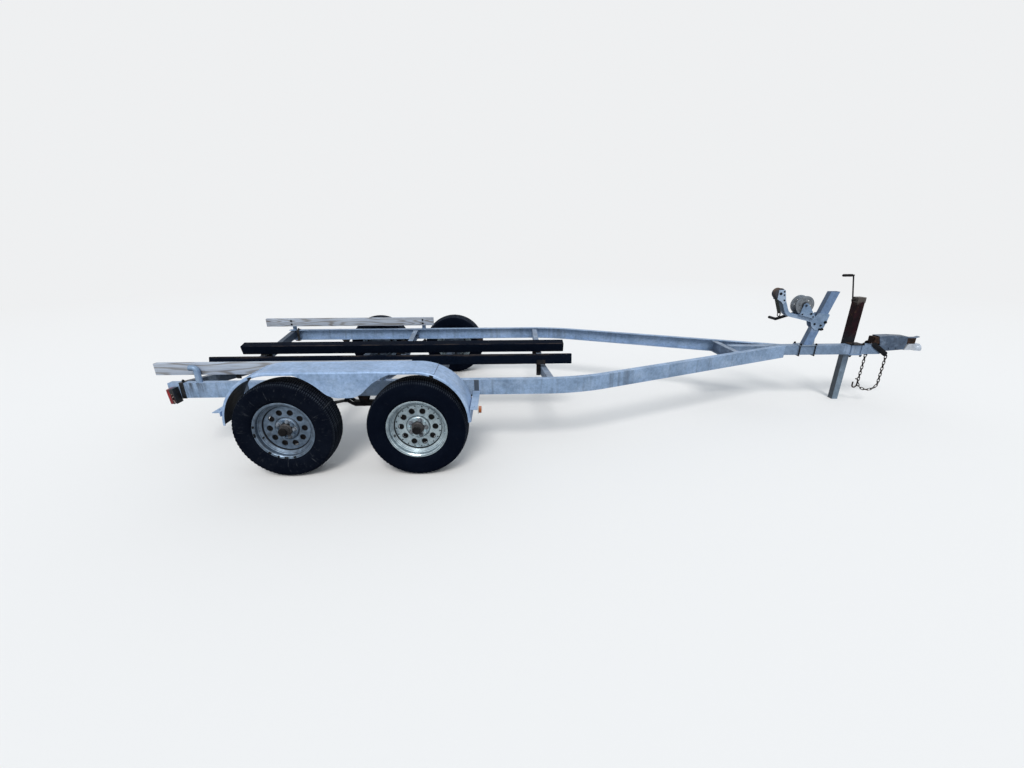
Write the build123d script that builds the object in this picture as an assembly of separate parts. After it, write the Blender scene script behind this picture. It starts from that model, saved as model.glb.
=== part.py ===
from build123d import *
import os
from math import atan2, cos, degrees, hypot, pi, radians, sin, sqrt, tan

# Tandem-axle boat trailer in millimetres. +X points to the coupler, +Y to the left side, +Z up.
# Pieces are drawn with x = 0 midway between the axles, and moved by -ORIGIN_X when they are
# written, so that the origin is on the floor under the middle of the whole trailer.

SEAT = 0.3            # gap between pieces that rest on each other
RUNNING = 0.05        # radial gap of a turning fit
CLEARANCE = 5.0       # gap round what turns
OVERSHOOT = 1.0       # how far a cutting shape stands past what it cuts

# Wheels; the trailer stands on them, so all heights start from the tyre
AXLE_SPREAD = 889.0
TYRE_RADIUS = 345.0
TYRE_WIDTH = 203.0
TYRE_WALL = 11.0
TREAD_WIDTH = 156.0
TREAD_CROWN = 9.0
RIM_FLANGE_RADIUS = 207.5
RIM_FLANGE_HEIGHT = 15.0
RIM_WIDTH = 168.0
RIM_WELL_DEPTH = 24.0
RIM_WALL = 4.0
DISC_RECESS = 57.0
DISC_WALL = 5.0
HAT_RADIUS = 76.0
HAT_HEIGHT = 14.0
WHEEL_HOLES = 10
WHEEL_HOLE_RADIUS = 18.0
WHEEL_HOLE_CIRCLE = 117.0
STUDS = 5
STUD_CIRCLE = 57.15
NUT_RADIUS = 10.5
NUT_HEIGHT = 16.0
CENTRE_BORE = 44.0

# Hubs and axles
HUB_REACH = 103.0     # from the wheel's mid plane to the end of the cap
HUB_PILOT_RADIUS = 42.0
HUB_FLANGE_RADIUS = 66.0
HUB_SNOUT_RADIUS = 33.0
HUB_CAP_RADIUS = 27.0
SPINDLE_RADIUS = 19.0
DRUM_RADIUS = 132.0
DRUM_DEPTH = 66.0
DRUM_WALL = 8.0
DRUM_GAP = 3.0        # between the drum and the wheel's disc, and behind it to the backing plate
BACKING_PLATE = 5.0
AXLE_BEAM = 60.0
AXLE_WALL = 6.0

# Frame rails, open inwards
RAIL_RISE = 239.0     # rail's top above the axles
RAIL_HEIGHT = 114.0
RAIL_FLANGE = 50.0
RAIL_WALL = 5.0
RAIL_HALF_WIDTH = 931.0
RAIL_REAR = -1388.0
RAIL_BEND_START = 1335.0
RAIL_BEND_RADIUS = 1240.0
RAIL_BEND_ANGLE = 22.8
WHEEL_OUTBOARD = 244.0    # wheel's mid plane beyond the rail's outer face

# Tongue and its crossmember
TONGUE_WIDTH = 76.0
TONGUE_HEIGHT = 89.0
TONGUE_WALL = 5.0
TONGUE_REACH = 931.0      # ahead of the nose, where the rails meet the tongue
TONGUE_CROSS_HALF = 277.0
TONGUE_CROSS_FLANGE = 50.0

# Crossmembers that drop towards the middle
CROSS_HEIGHT = 76.0
CROSS_FLANGE = 50.0
CROSS_WALL = 5.0
CROSS_DROP_ANGLE = 8.6
CROSS_UNDER_FLANGE = 1.0

# Leaf springs
SPRING_INBOARD = 26.0
SPRING_WIDTH = 45.0
LEAF_THICKNESS = 8.0
LEAF_HALF_LENGTHS = (320.0, 235.0, 150.0)
SPRING_RISE = 34.0
EYE_RADIUS = 15.0
EYE_BORE = 8.0
PIVOT_DROP = 30.0
HANGER_HALF_FOOT = 40.0
ROCKER_HALF = 78.0
SHACKLE_WIDTH = 24.0
PLATE = 6.0
U_BOLT_RADIUS = 5.0

# Fender, right side only
FENDER_GAP = 15.0         # its curve outside the tyre's
FENDER_RAISE = 61.0       # centre of that curve above the axles
FENDER_LEAD = 10.5        # and beyond them, fore and aft
FENDER_SHEET = 3.0
FENDER_WIDTH = 243.0
FENDER_OUTBOARD = 110.0   # outer face beyond the wheel's mid plane
FENDER_LIP = 20.0
FENDER_EDGE = 14.0        # radius of its rounded outer edge
FENDER_SEAM_LEAD = 132.5
APRON_BOTTOM_RISE = 245.0
APRON_GAP = 80.0
APRON_CORNER = 140.0
BRACKET_WIDTH = 50.0
BRACKET_HEIGHT = 30.0
BRACKET_DROP = 82.0
BRACKET_HOLE = 6.0

# Carpeted bunks and bare side boards
BUNK_WIDTH = 90.0
BUNK_HEIGHT = 92.0
BUNK_TILT = 15.0          # their tops face inwards
BUNK_INNER = 204.0        # lower inner corner from the centre line
BUNK_RISE = 16.0          # and above the crossmembers
SADDLE_WALL = 6.0
SADDLE_LIP = 35.0
SADDLE_HALF = 38.0
UPRIGHT_LEAD = 71.0       # bracket's upright outboard of that corner
UPRIGHT_LEG = 38.0
BOARD_WIDTH = 38.0
BOARD_HEIGHT = 89.0
BOARD_RISE = 136.0
BOARD_INBOARD = 61.0
BOARD_POST_WALL = 3.5
BOARD_STUB = 46.0
BOARD_ELBOW = 24.0
ANGLE_WALL = 5.0

# Winch post
POST_LEAD = 216.0         # ahead of the nose
POST_LEAN = 16.5
POST_RISE = 501.0
POST_DEPTH = 78.0
POST_WIDTH = 51.0
POST_WALL = 4.0
FOOT_REAR = 90.0
FOOT_FRONT = 85.0
GUSSET_FOOT = 38.0
GUSSET_HEIGHT = 100.0

# Arm of the winch: its corners ahead of the post's base and above the rails
ARM_CORNERS = ((27.0, 231.0), (-263.0, 300.0), (-322.0, 430.0))
ARM_THICKNESS = 35.0
ARM_WALL = 4.0
ARM_BEND = 80.0
CHEEK_WALL = 5.0
CHEEK_CORNERS = ((-33.0, 252.0), (-10.0, 186.0), (25.0, 151.0), (101.0, 139.0),
                 (125.0, 216.0), (141.0, 296.0), (37.0, 308.0), (-7.0, 257.0))
CHEEK_ROUND = 12.0
CHEEK_BOLTS = (150.0, 215.0)

# Bow roller and its strap
ROLLER_BACK = 365.0
ROLLER_RISE = 488.0
ROLLER_RADIUS = 48.0
ROLLER_BORE = 7.0
ROLLER_CHEEK = ((-20.0, 33.0), (38.0, 33.0), (65.0, -72.0), (40.0, -97.0), (18.0, -72.0), (-20.0, -52.0))
STRAP_LENGTH = 132.0
STRAP_WIDTH = 48.0
STRAP_THICKNESS = 6.0

# Winch
DRUM_BACK = 120.0
FLANGE_RADIUS = 84.5
FLANGE_WALL = 3.0
CORE_RADIUS = 28.0
DRUM_HALF_WIDTH = 38.0
DRUM_AXLE_RADIUS = 8.0
GEAR_MODULE = 2.5
GEAR_TEETH = 66
PINION_TEETH = 12
GEAR_FACE = 8.0
PINION_ANGLE = -50.6
FRAME_WALL = 4.0
FRAME_BASE = 5.0
CRANK_SHAFT_RADIUS = 8.0
CRANK_LENGTH = 236.0
CRANK_WIDTH = 26.0
CRANK_ANGLE = 197.7
CRANK_OFFSET = 44.0
GRIP_LENGTH = 95.0
GRIP_RADIUS = 13.0
FLANGE_HOLES = 6
FLANGE_HOLE_RADIUS = 5.0
FLANGE_HOLE_CIRCLE = 48.0

# Jack
JACK_BACK = 240.0         # behind the tongue's front end
JACK_STANDOFF = 11.0
JACK_TUBE = 70.0
JACK_TUBE_DROP = 25.0
JACK_RISE = 432.0
JACK_BAND_HEIGHT = 46.0
JACK_BAND_WALL = 2.5
JACK_LEG = 57.0
JACK_LEG_WALL = 4.0
JACK_LEG_TOP = -14.0
JACK_PLATE = 8.0
JACK_CRANK_ARM = 230.0
JACK_CRANK_LEAN = 16.0
JACK_CRANK_HANDLE = 105.0
JACK_CRANK_RADIUS = 6.0
JACK_HANDLE_RADIUS = 7.5

# Coupler: its case is drawn ahead of the tongue's front end and above the rails
CASE_OUTLINE = ((-51.0, 85.0), (78.0, 88.0), (222.0, 80.0), (230.0, 12.0), (215.0, -45.0),
                (58.0, -57.0), (24.0, -53.0), (-22.0, -12.0))
CASE_WALL = 4.0
CASE_BOLTS = (72.0, 140.0)
CASE_BOLT_RISE = -30.0
SLIDE_REAR = -85.0
SLIDE_RISE = 13.0
SLIDE_NOSE_HALF = 22.0
SLIDE_NOSE_TOP = 58.0
BALL_LEAD = 372.0
BALL_RISE = -38.0
BALL_RADIUS = 25.4
SOCKET_REACH = 43.0
SOCKET_SKIRT = 22.0
SOCKET_TOP = 43.0
NECK_HALF = 30.0
LATCH_WIDTH = 28.0
LATCH_WALL = 8.0

# Safety chain, one loop from under the tongue to a bracket beside the coupler
CHAIN_EYE_BACK = 101.0
CHAIN_EYE_LEG = 10.0
CHAIN_BRACKET_LEAD = 50.0
CHAIN_BRACKET_LENGTH = 200.0
CHAIN_BRACKET_WIDTH = 46.0
CHAIN_BRACKET_ANGLE = -35.0
CHAIN_LINKS = 27
CHAIN_PIN_RADIUS = 4.0
CHAIN_PIN_DROP = 14.0
CHAIN_STANDOFF = 8.0
CHAIN_PIN_AHEAD = 6.0     # pin ahead of the centre of its bracket's lower end
CHAIN_PIN_BELOW = 18.0    # and below it
LINK_BAR = 3.4
LINK_INNER_LENGTH = 30.0
LINK_INNER_WIDTH = 11.0

# Lamps
LAMP_LEAD = 32.0          # ahead of the rails' rear ends
LAMP_LENGTH = 45.0
LAMP_WIDTH = 60.0
LAMP_HEIGHT = 112.0
LAMP_DROP = 26.0
LAMP_WALL = 3.0
LAMP_TILT = -5.0
LENS_THICKNESS = 19.0
LAMP_HOLE = ((3.0, -3.0), (20.0, -3.0), (17.0, 50.0), (13.0, 86.0), (4.0, 78.0))
RAIL_BAND_LEAD = 83.0
RAIL_BAND_LENGTH = 30.0
MARKER_WIDTH = 48.0
MARKER_HEIGHT = 42.0
MARKER_BASE = 6.0
MARKER_LENS = 18.0

# Heights and widths that follow
AXLE_X = AXLE_SPREAD / 2
AXLE_Z = TYRE_RADIUS
RAIL_TOP = AXLE_Z + RAIL_RISE
RAIL_BOTTOM = RAIL_TOP - RAIL_HEIGHT
WHEEL_Y = RAIL_HALF_WIDTH + WHEEL_OUTBOARD
WEB_Y = RAIL_HALF_WIDTH - RAIL_WALL - SEAT
SPRING_Y = RAIL_HALF_WIDTH - SPRING_INBOARD
BOARD_Y = RAIL_HALF_WIDTH - BOARD_INBOARD
BOARD_TOP = RAIL_TOP + BOARD_RISE
RIM_SEAT_RADIUS = RIM_FLANGE_RADIUS - RIM_FLANGE_HEIGHT
FENDER_RADIUS = TYRE_RADIUS + FENDER_GAP
FENDER_CENTRE_X = AXLE_X + FENDER_LEAD
FENDER_CENTRE_Z = AXLE_Z + FENDER_RAISE
FENDER_TOP = FENDER_CENTRE_Z + FENDER_RADIUS
FENDER_OUTER_Y = WHEEL_Y + FENDER_OUTBOARD
FENDER_INNER_Y = FENDER_OUTER_Y - FENDER_WIDTH
FENDER_SEAM_X = AXLE_X + FENDER_SEAM_LEAD
TONGUE_HALF = TONGUE_WIDTH / 2
TONGUE_BOTTOM = RAIL_TOP - TONGUE_HEIGHT
CROSS_TOP = RAIL_TOP - RAIL_WALL - CROSS_UNDER_FLANGE

# Where the rails' outer faces meet the tongue's sides
BEND = radians(RAIL_BEND_ANGLE)
BEND_CENTRE_Y = RAIL_HALF_WIDTH - RAIL_BEND_RADIUS
NOSE_X = RAIL_BEND_START + RAIL_BEND_RADIUS * sin(BEND) + (
    BEND_CENTRE_Y + RAIL_BEND_RADIUS * cos(BEND) - TONGUE_HALF - SEAT) / tan(BEND)

TONGUE_FRONT = NOSE_X + TONGUE_REACH
POST_BASE_X = NOSE_X + POST_LEAD
JACK_X = TONGUE_FRONT - JACK_BACK
JACK_Y = TONGUE_HALF + JACK_STANDOFF + JACK_TUBE / 2
BALL_X = TONGUE_FRONT + BALL_LEAD
BALL_Z = RAIL_TOP + BALL_RISE
COUPLER_TIP = BALL_X + SOCKET_REACH
CASE_HALF = TONGUE_HALF + SEAT + CASE_WALL

# Timbers: name, side (-1 right, 1 left), rear end, front end
BUNKS = (("bunk_right", -1, -1530.0, 1639.0), ("bunk_left", 1, -1530.0, 1632.0))
BOARDS = (("board_right", -1, -1487.0, 363.0), ("board_left", 1, -1610.0, 250.0))

# Posts of the side boards: side, x, length of the stub at the top
BOARD_POSTS = ((-1, -1171.0, BOARD_STUB), (-1, 150.0, 0.0), (1, -1330.0, BOARD_STUB), (1, 130.0, 0.0))

# Crossmembers: name, x, direction of the open side
CROSSMEMBERS = (("crossmember_front", 1390.0, 1), ("crossmember_middle", 40.0, 1),
                ("crossmember_rear", -1345.0, -1))

ORIGIN_X = (min(board[2] for board in BOARDS) + COUPLER_TIP) / 2


def block(x0, x1, y0, y1, z0, z1):
    centre = Pos((x0 + x1) / 2, (y0 + y1) / 2, (z0 + z1) / 2)
    return centre * Box(x1 - x0, y1 - y0, z1 - z0)


def rod_x(y, z, x0, x1, radius):
    return Pos((x0 + x1) / 2, y, z) * Rot(0, 90, 0) * Cylinder(radius, x1 - x0)


def rod_y(x, z, y0, y1, radius):
    return Pos(x, (y0 + y1) / 2, z) * Rot(90, 0, 0) * Cylinder(radius, abs(y1 - y0))


def rod_z(x, y, z0, z1, radius):
    return Pos(x, y, (z0 + z1) / 2) * Cylinder(radius, z1 - z0)


def side_plate(face, y0, y1):
    """Extrude a face drawn in the XZ plane so that it fills y0 to y1."""
    return Pos(0, y1, 0) * extrude(Plane.XZ * face, y1 - y0)


def cross_plate(face, x0, x1):
    """Extrude a face drawn in the YZ plane so that it fills x0 to x1."""
    return Pos(x0, 0, 0) * extrude(Plane.YZ * face, x1 - x0)


def polygon(*points):
    return make_face(Polyline(*points, close=True))


def shifted(points, x, z):
    return [(x + px, z + pz) for px, pz in points]


def square_tube(x, y, z0, z1, size, wall):
    outer = Pos(x, y, (z0 + z1) / 2) * Box(size, size, z1 - z0)
    inner = Pos(x, y, (z0 + z1) / 2) * Box(size - 2 * wall, size - 2 * wall, z1 - z0)
    return outer - inner


def left_of(shape):
    return mirror(shape, about=Plane.XZ)


def both_sides(shape):
    return [left_of(shape), shape]


def revolve_y(points):
    """Turn a closed outline of (y, radius) points about the Y axis."""
    face = make_face(Polyline(*[(r, y) for y, r in points], close=True))
    return revolve(face, Axis.Y)


def rail_band(outer, inner):
    """Plan view of the right rail between two distances in from its outer face."""

    def on_bend(inset, angle):
        reach = RAIL_BEND_RADIUS - inset
        return (RAIL_BEND_START + reach * sin(angle), -BEND_CENTRE_Y - reach * cos(angle))

    def side(inset):
        end = on_bend(inset, BEND)
        run = (-TONGUE_HALF - SEAT - end[1]) / tan(BEND)
        meets_tongue = (end[0] + run, -TONGUE_HALF - SEAT)
        start = (RAIL_REAR, -RAIL_HALF_WIDTH + inset)
        return start, on_bend(inset, 0), on_bend(inset, BEND / 2), end, meets_tongue

    a, b, c, d, e = side(outer)
    p, q, r, s, t = side(inner)
    return make_face([
        Line(a, b), ThreePointArc(b, c, d), Line(d, e), Line(e, t),
        Line(t, s), ThreePointArc(s, r, q), Line(q, p), Line(p, a)])


def make_rail():
    web = Pos(0, 0, RAIL_BOTTOM) * extrude(rail_band(0, RAIL_WALL), RAIL_HEIGHT)
    flange = extrude(rail_band(0, RAIL_FLANGE), RAIL_WALL)
    return web + Pos(0, 0, RAIL_BOTTOM) * flange + Pos(0, 0, RAIL_TOP - RAIL_WALL) * flange


def web_half(x):
    """Half the width between the rails' webs at x, with a seat gap."""
    reach = RAIL_BEND_RADIUS - RAIL_WALL - SEAT
    end_x = RAIL_BEND_START + reach * sin(BEND)
    if x <= RAIL_BEND_START:
        return BEND_CENTRE_Y + reach
    if x <= end_x:
        return BEND_CENTRE_Y + sqrt(reach ** 2 - (x - RAIL_BEND_START) ** 2)
    return BEND_CENTRE_Y + reach * cos(BEND) - (x - end_x) * tan(BEND)


def tongue_cross_x():
    """Where the space between the webs is as wide as the tongue's crossmember is long."""
    on_straight = NOSE_X - TONGUE_CROSS_FLANGE
    return on_straight - (TONGUE_CROSS_HALF - web_half(on_straight)) / tan(BEND)


def make_tongue_crossmember():
    x0 = tongue_cross_x()
    x1 = x0 + TONGUE_CROSS_FLANGE
    z0 = RAIL_BOTTOM + RAIL_WALL + SEAT
    z1 = RAIL_TOP - RAIL_WALL - SEAT
    w0 = web_half(x0)
    w1 = web_half(x1)
    wide = extrude(polygon((x0, -w0), (x1, -w1), (x1, w1), (x0, w0)), z1 - z0)
    hollow = block(x0 - OVERSHOOT, x1 - CROSS_WALL, -w0, w0, z0 + CROSS_WALL, z1 - CROSS_WALL)
    return Pos(0, 0, z0) * wide - hollow


def make_tongue():
    x0 = tongue_cross_x() + TONGUE_CROSS_FLANGE + SEAT
    outer = block(x0, TONGUE_FRONT, -TONGUE_HALF, TONGUE_HALF, TONGUE_BOTTOM, RAIL_TOP)
    w = TONGUE_HALF - TONGUE_WALL
    return outer - block(x0, TONGUE_FRONT, -w, w, TONGUE_BOTTOM + TONGUE_WALL, RAIL_TOP - TONGUE_WALL)


def cross_top(y):
    return CROSS_TOP - (WEB_Y - abs(y)) * tan(radians(CROSS_DROP_ANGLE))


def make_crossmember(x, open_side):
    """Channel bent at its middle; its web faces away from open_side."""
    end = web_half(x + CROSS_FLANGE / 2)

    def strip(drop, height):
        a, m = cross_top(end) - drop, cross_top(0) - drop
        return polygon((-end, a), (0, m), (end, a), (end, a - height), (0, m - height), (-end, a - height))

    half = CROSS_FLANGE / 2
    web = sorted((x - open_side * half, x - open_side * (half - CROSS_WALL)))
    top = cross_plate(strip(0, CROSS_WALL), x - half, x + half)
    bottom = cross_plate(strip(CROSS_HEIGHT - CROSS_WALL, CROSS_WALL), x - half, x + half)
    return top + bottom + cross_plate(strip(0, CROSS_HEIGHT), *web)


def make_tyre():
    h = TYRE_WIDTH / 2
    bead = RIM_WIDTH / 2 - RIM_WALL - SEAT
    bead_r = RIM_SEAT_RADIUS
    foot_r = RIM_FLANGE_RADIUS + 2
    bulge_r = (RIM_FLANGE_RADIUS + TYRE_RADIUS) / 2 - 12
    shoulder = TREAD_WIDTH / 2
    edge_r = TYRE_RADIUS - TREAD_CROWN
    side_r = edge_r - 2 * TREAD_CROWN
    side_y = h - TREAD_CROWN
    turn_r, turn_y = edge_r - 6, side_y - 6
    w = TYRE_WALL
    crown_r = edge_r - 1.5 * w
    outside = [
        Line((bead_r, -bead), (foot_r, -bead)),
        ThreePointArc((foot_r, -bead), (bulge_r, -h), (side_r, -side_y)),
        ThreePointArc((side_r, -side_y), (turn_r, -turn_y), (edge_r, -shoulder)),
        ThreePointArc((edge_r, -shoulder), (TYRE_RADIUS, 0), (edge_r, shoulder)),
        ThreePointArc((edge_r, shoulder), (turn_r, turn_y), (side_r, side_y)),
        ThreePointArc((side_r, side_y), (bulge_r, h), (foot_r, bead)),
        Line((foot_r, bead), (bead_r, bead)),
    ]
    inside = [
        Line((bead_r, bead), (bead_r, bead - 2 * w)),
        ThreePointArc((bead_r, bead - 2 * w), (bulge_r, h - w), (crown_r, shoulder - w)),
        Line((crown_r, shoulder - w), (crown_r, -shoulder + w)),
        ThreePointArc((crown_r, -shoulder + w), (bulge_r, -h + w), (bead_r, -bead + 2 * w)),
        Line((bead_r, -bead + 2 * w), (bead_r, -bead)),
    ]
    return revolve(make_face(outside + inside), Axis.Y)


def make_rim():
    """Wheel of the left side, its outer face towards +Y, centred on its own mid plane."""
    h = RIM_WIDTH / 2
    lip = RIM_FLANGE_RADIUS
    seat = RIM_SEAT_RADIUS - SEAT - 0.5
    well = seat - RIM_WELL_DEPTH
    w = RIM_WALL
    barrel = revolve_y([
        (-h, lip), (-h + w, lip), (-h + w, seat), (-h + 30, seat), (-h + 42, well),
        (h - 48, well), (h - 34, seat), (h - w, seat), (h - w, lip - 2), (h - w / 2, lip), (h, lip - 2),
        (h, seat + 3), (h - 6, seat - w), (h - 32, seat - w), (h - 46, well - w),
        (-h + 40, well - w), (-h + 28, seat - w), (-h, seat - w)])
    face = h - DISC_RECESS
    hat = face + HAT_HEIGHT
    t = DISC_WALL
    weld = well - w + 1
    disc = revolve_y([
        (hat, CENTRE_BORE), (hat, HAT_RADIUS - 7), (hat - 3, HAT_RADIUS - 2), (face, HAT_RADIUS + 5),
        (face, weld - 9), (face - 3, weld - 3), (face - 9, weld), (face - 28, weld), (face - 28, weld - t),
        (face - 10, weld - t), (face - t, weld - 11), (face - t, HAT_RADIUS + 3),
        (hat - t - 1, HAT_RADIUS - 7), (hat - t, HAT_RADIUS - 9), (hat - t, CENTRE_BORE)])
    wheel = barrel + disc
    for spot in PolarLocations(WHEEL_HOLE_CIRCLE, WHEEL_HOLES):
        at = spot.position
        wheel -= rod_y(at.X, at.Y, face - 2 * t, face + t, WHEEL_HOLE_RADIUS)
    nut = extrude(RegularPolygon(NUT_RADIUS, 6), NUT_HEIGHT)
    for spot in PolarLocations(STUD_CIRCLE, STUDS):
        at = spot.position
        wheel += Pos(at.X, hat + NUT_HEIGHT, at.Y) * Rot(90, 0, 0) * nut
    return wheel


def hub_mount():
    """Hub's mounting face from the wheel's mid plane."""
    return RIM_WIDTH / 2 - DISC_RECESS + HAT_HEIGHT - DISC_WALL - SEAT


def drum_face():
    return RIM_WIDTH / 2 - DISC_RECESS - DISC_WALL - DRUM_GAP


def make_hub():
    """Hub, brake drum and grease cap in one turning piece, axle end towards -Y."""
    mount, face = hub_mount(), drum_face()
    back = face - DRUM_DEPTH
    end = HUB_REACH
    bore = SPINDLE_RADIUS + RUNNING
    inner = 40.0
    return revolve_y([
        (back + 20, bore), (back + 20, inner), (face - DRUM_WALL, inner), (face - DRUM_WALL, DRUM_RADIUS - DRUM_WALL),
        (back, DRUM_RADIUS - DRUM_WALL), (back, DRUM_RADIUS), (face - 4, DRUM_RADIUS), (face, DRUM_RADIUS - 4),
        (face, HUB_FLANGE_RADIUS), (mount, HUB_FLANGE_RADIUS), (mount, HUB_PILOT_RADIUS),
        (mount + 18, HUB_PILOT_RADIUS), (mount + 24, HUB_SNOUT_RADIUS), (end - 34, HUB_SNOUT_RADIUS),
        (end - 34, HUB_CAP_RADIUS), (end - 4, HUB_CAP_RADIUS), (end, HUB_CAP_RADIUS - 6), (end, 0),
        (end - 30, 0), (end - 30, bore)])


def make_axle(x):
    """Square beam with a backing plate and a spindle at each end."""
    plate_y = WHEEL_Y + drum_face() - DRUM_DEPTH - DRUM_GAP
    beam_y = plate_y - BACKING_PLATE
    beam = Pos(x, 0, AXLE_Z) * Box(AXLE_BEAM, 2 * beam_y, AXLE_BEAM)
    hollow = AXLE_BEAM - 2 * AXLE_WALL
    beam -= Pos(x, 0, AXLE_Z) * Box(hollow, 2 * beam_y, hollow)
    spindle_end = WHEEL_Y + HUB_REACH - 40
    for side in (-1, 1):
        beam += rod_y(x, AXLE_Z, side * beam_y, side * plate_y, DRUM_RADIUS - DRUM_WALL / 2)
        beam += rod_y(x, AXLE_Z, side * beam_y, side * spindle_end, SPINDLE_RADIUS)
    return beam


SPRING_BOTTOM = AXLE_Z + AXLE_BEAM / 2 + SEAT
EYE_Z = SPRING_BOTTOM + 2 * LEAF_THICKNESS + SPRING_RISE + EYE_RADIUS
PIVOT_Z = EYE_Z - PIVOT_DROP
SPRING_SIDE = SPRING_WIDTH / 2
HANGER_SIDE = SPRING_SIDE + 2
PIN_SIDE = HANGER_SIDE + 2 * PLATE
PIN_RADIUS = EYE_BORE - SEAT
INNER_EYE_X = AXLE_X - LEAF_HALF_LENGTHS[0]
OUTER_EYE_X = AXLE_X + LEAF_HALF_LENGTHS[0]


def leaf_curve(x):
    """Height of a leaf's underside above its lowest point."""
    half = LEAF_HALF_LENGTHS[0]
    radius = (half ** 2 + SPRING_RISE ** 2) / (2 * SPRING_RISE)
    return radius - sqrt(radius ** 2 - x ** 2)


def spring_pin(x, z):
    return rod_y(x, z, -SPRING_Y - PIN_SIDE, -SPRING_Y + PIN_SIDE, PIN_RADIUS)


def spring_plates(outline):
    """Two equal plates, one on each side of the right springs."""
    inner = side_plate(outline, -SPRING_Y + HANGER_SIDE, -SPRING_Y + HANGER_SIDE + PLATE)
    return inner + side_plate(outline, -SPRING_Y - HANGER_SIDE - PLATE, -SPRING_Y - HANGER_SIDE)


def make_spring(x):
    y0, y1 = -SPRING_Y - SPRING_SIDE, -SPRING_Y + SPRING_SIDE
    leaves = []
    for step, half in enumerate(LEAF_HALF_LENGTHS):
        z = SPRING_BOTTOM + (len(LEAF_HALF_LENGTHS) - 1 - step) * LEAF_THICKNESS
        t = z + LEAF_THICKNESS
        rise = leaf_curve(half)
        low = ThreePointArc((x - half, z + rise), (x, z), (x + half, z + rise))
        high = ThreePointArc((x + half, t + rise), (x, t), (x - half, t + rise))
        ends = [Line((x + half, z + rise), (x + half, t + rise)), Line((x - half, t + rise), (x - half, z + rise))]
        leaves.append(side_plate(make_face([low, high] + ends), y0, y1))
    spring = leaves[0] + leaves[1:]
    for eye_x in (x - LEAF_HALF_LENGTHS[0], x + LEAF_HALF_LENGTHS[0]):
        spring += rod_y(eye_x, EYE_Z, y0, y1, EYE_RADIUS)
        spring -= rod_y(eye_x, EYE_Z, y0 - OVERSHOOT, y1 + OVERSHOOT, EYE_BORE)
    return spring


def make_hanger(x, low):
    """Two plates under the right rail and the pin between them."""
    top = RAIL_BOTTOM - SEAT
    wide, narrow = HANGER_HALF_FOOT, HANGER_HALF_FOOT / 2
    outline = make_face([
        Line((x - wide, top), (x + wide, top)), Line((x + wide, top), (x + narrow, low)),
        ThreePointArc((x + narrow, low), (x, low - narrow), (x - narrow, low)),
        Line((x - narrow, low), (x - wide, top))])
    return spring_plates(outline) + spring_pin(x, low)


def spring_hangers():
    spots = ((OUTER_EYE_X, EYE_Z), (0.0, PIVOT_Z), (-OUTER_EYE_X, EYE_Z))
    return [make_hanger(x, low) for x, low in spots]


def make_rocker():
    """Rocker on the middle hanger's pin, tapered towards its ends."""
    tip = ROCKER_HALF + 10
    body = polygon(
        (-ROCKER_HALF, PIVOT_Z + 14), (ROCKER_HALF, PIVOT_Z + 14), (tip, PIVOT_Z),
        (ROCKER_HALF - 4, PIVOT_Z - 22), (4 - ROCKER_HALF, PIVOT_Z - 22), (-tip, PIVOT_Z))
    y0, y1 = -SPRING_Y - SPRING_SIDE, -SPRING_Y + SPRING_SIDE
    return side_plate(body, y0, y1) - rod_y(0, PIVOT_Z, y0 - OVERSHOOT, y1 + OVERSHOOT, EYE_BORE)


def make_shackle():
    """Plates from the rocker's front end to the front spring's inner eye, with their pin."""
    rise = EYE_Z - PIVOT_Z
    run = INNER_EYE_X - ROCKER_HALF
    middle = Pos((ROCKER_HALF + INNER_EYE_X) / 2, (EYE_Z + PIVOT_Z) / 2)
    bar = middle * Rot(0, 0, degrees(atan2(rise, run))) * SlotCenterToCenter(hypot(run, rise), SHACKLE_WIDTH)
    return spring_plates(bar) + spring_pin(INNER_EYE_X, EYE_Z)


def rocker_set():
    front = make_shackle()
    return [make_rocker(), front, mirror(front, about=Plane.YZ)]


def make_axle_clamp(x):
    """Plate under an axle and two U-bolts over its spring, for the right side."""
    top = SPRING_BOTTOM + len(LEAF_HALF_LENGTHS) * LEAF_THICKNESS + SEAT + U_BOLT_RADIUS + 3
    bottom = AXLE_Z - AXLE_BEAM / 2 - SEAT
    half = AXLE_BEAM / 2 + U_BOLT_RADIUS + 3
    wide = SPRING_SIDE + U_BOLT_RADIUS + 2
    clamp = block(x - half - 10, x + half + 10, -SPRING_Y - wide - 8, -SPRING_Y + wide + 8, bottom - 8, bottom)
    for bolt_x in (x - half, x + half):
        for y in (-SPRING_Y - wide, -SPRING_Y + wide):
            clamp += rod_z(bolt_x, y, bottom - 22, top, U_BOLT_RADIUS)
        clamp += rod_y(bolt_x, top, -SPRING_Y - wide - U_BOLT_RADIUS, -SPRING_Y + wide + U_BOLT_RADIUS, U_BOLT_RADIUS)
    return clamp


def fender_section():
    """Cross section of the right fender's top in the YZ plane: a sheet with a rounded edge and a lip."""
    t, e = FENDER_SHEET, FENDER_EDGE
    y0, y1 = -FENDER_OUTER_Y, -FENDER_INNER_Y
    corner_y, corner_z = y0 + e, FENDER_TOP - e
    s = sin(radians(45))
    low = FENDER_TOP - FENDER_LIP
    return make_face([
        Line((y1, FENDER_TOP), (corner_y, FENDER_TOP)),
        ThreePointArc((corner_y, FENDER_TOP), (corner_y - e * s, corner_z + e * s), (y0, corner_z)),
        Line((y0, corner_z), (y0, low)), Line((y0, low), (y0 + t, low)), Line((y0 + t, low), (y0 + t, corner_z)),
        ThreePointArc((y0 + t, corner_z), (corner_y - (e - t) * s, corner_z + (e - t) * s), (corner_y, FENDER_TOP - t)),
        Line((corner_y, FENDER_TOP - t), (y1, FENDER_TOP - t)), Line((y1, FENDER_TOP - t), (y1, FENDER_TOP))])


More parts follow.
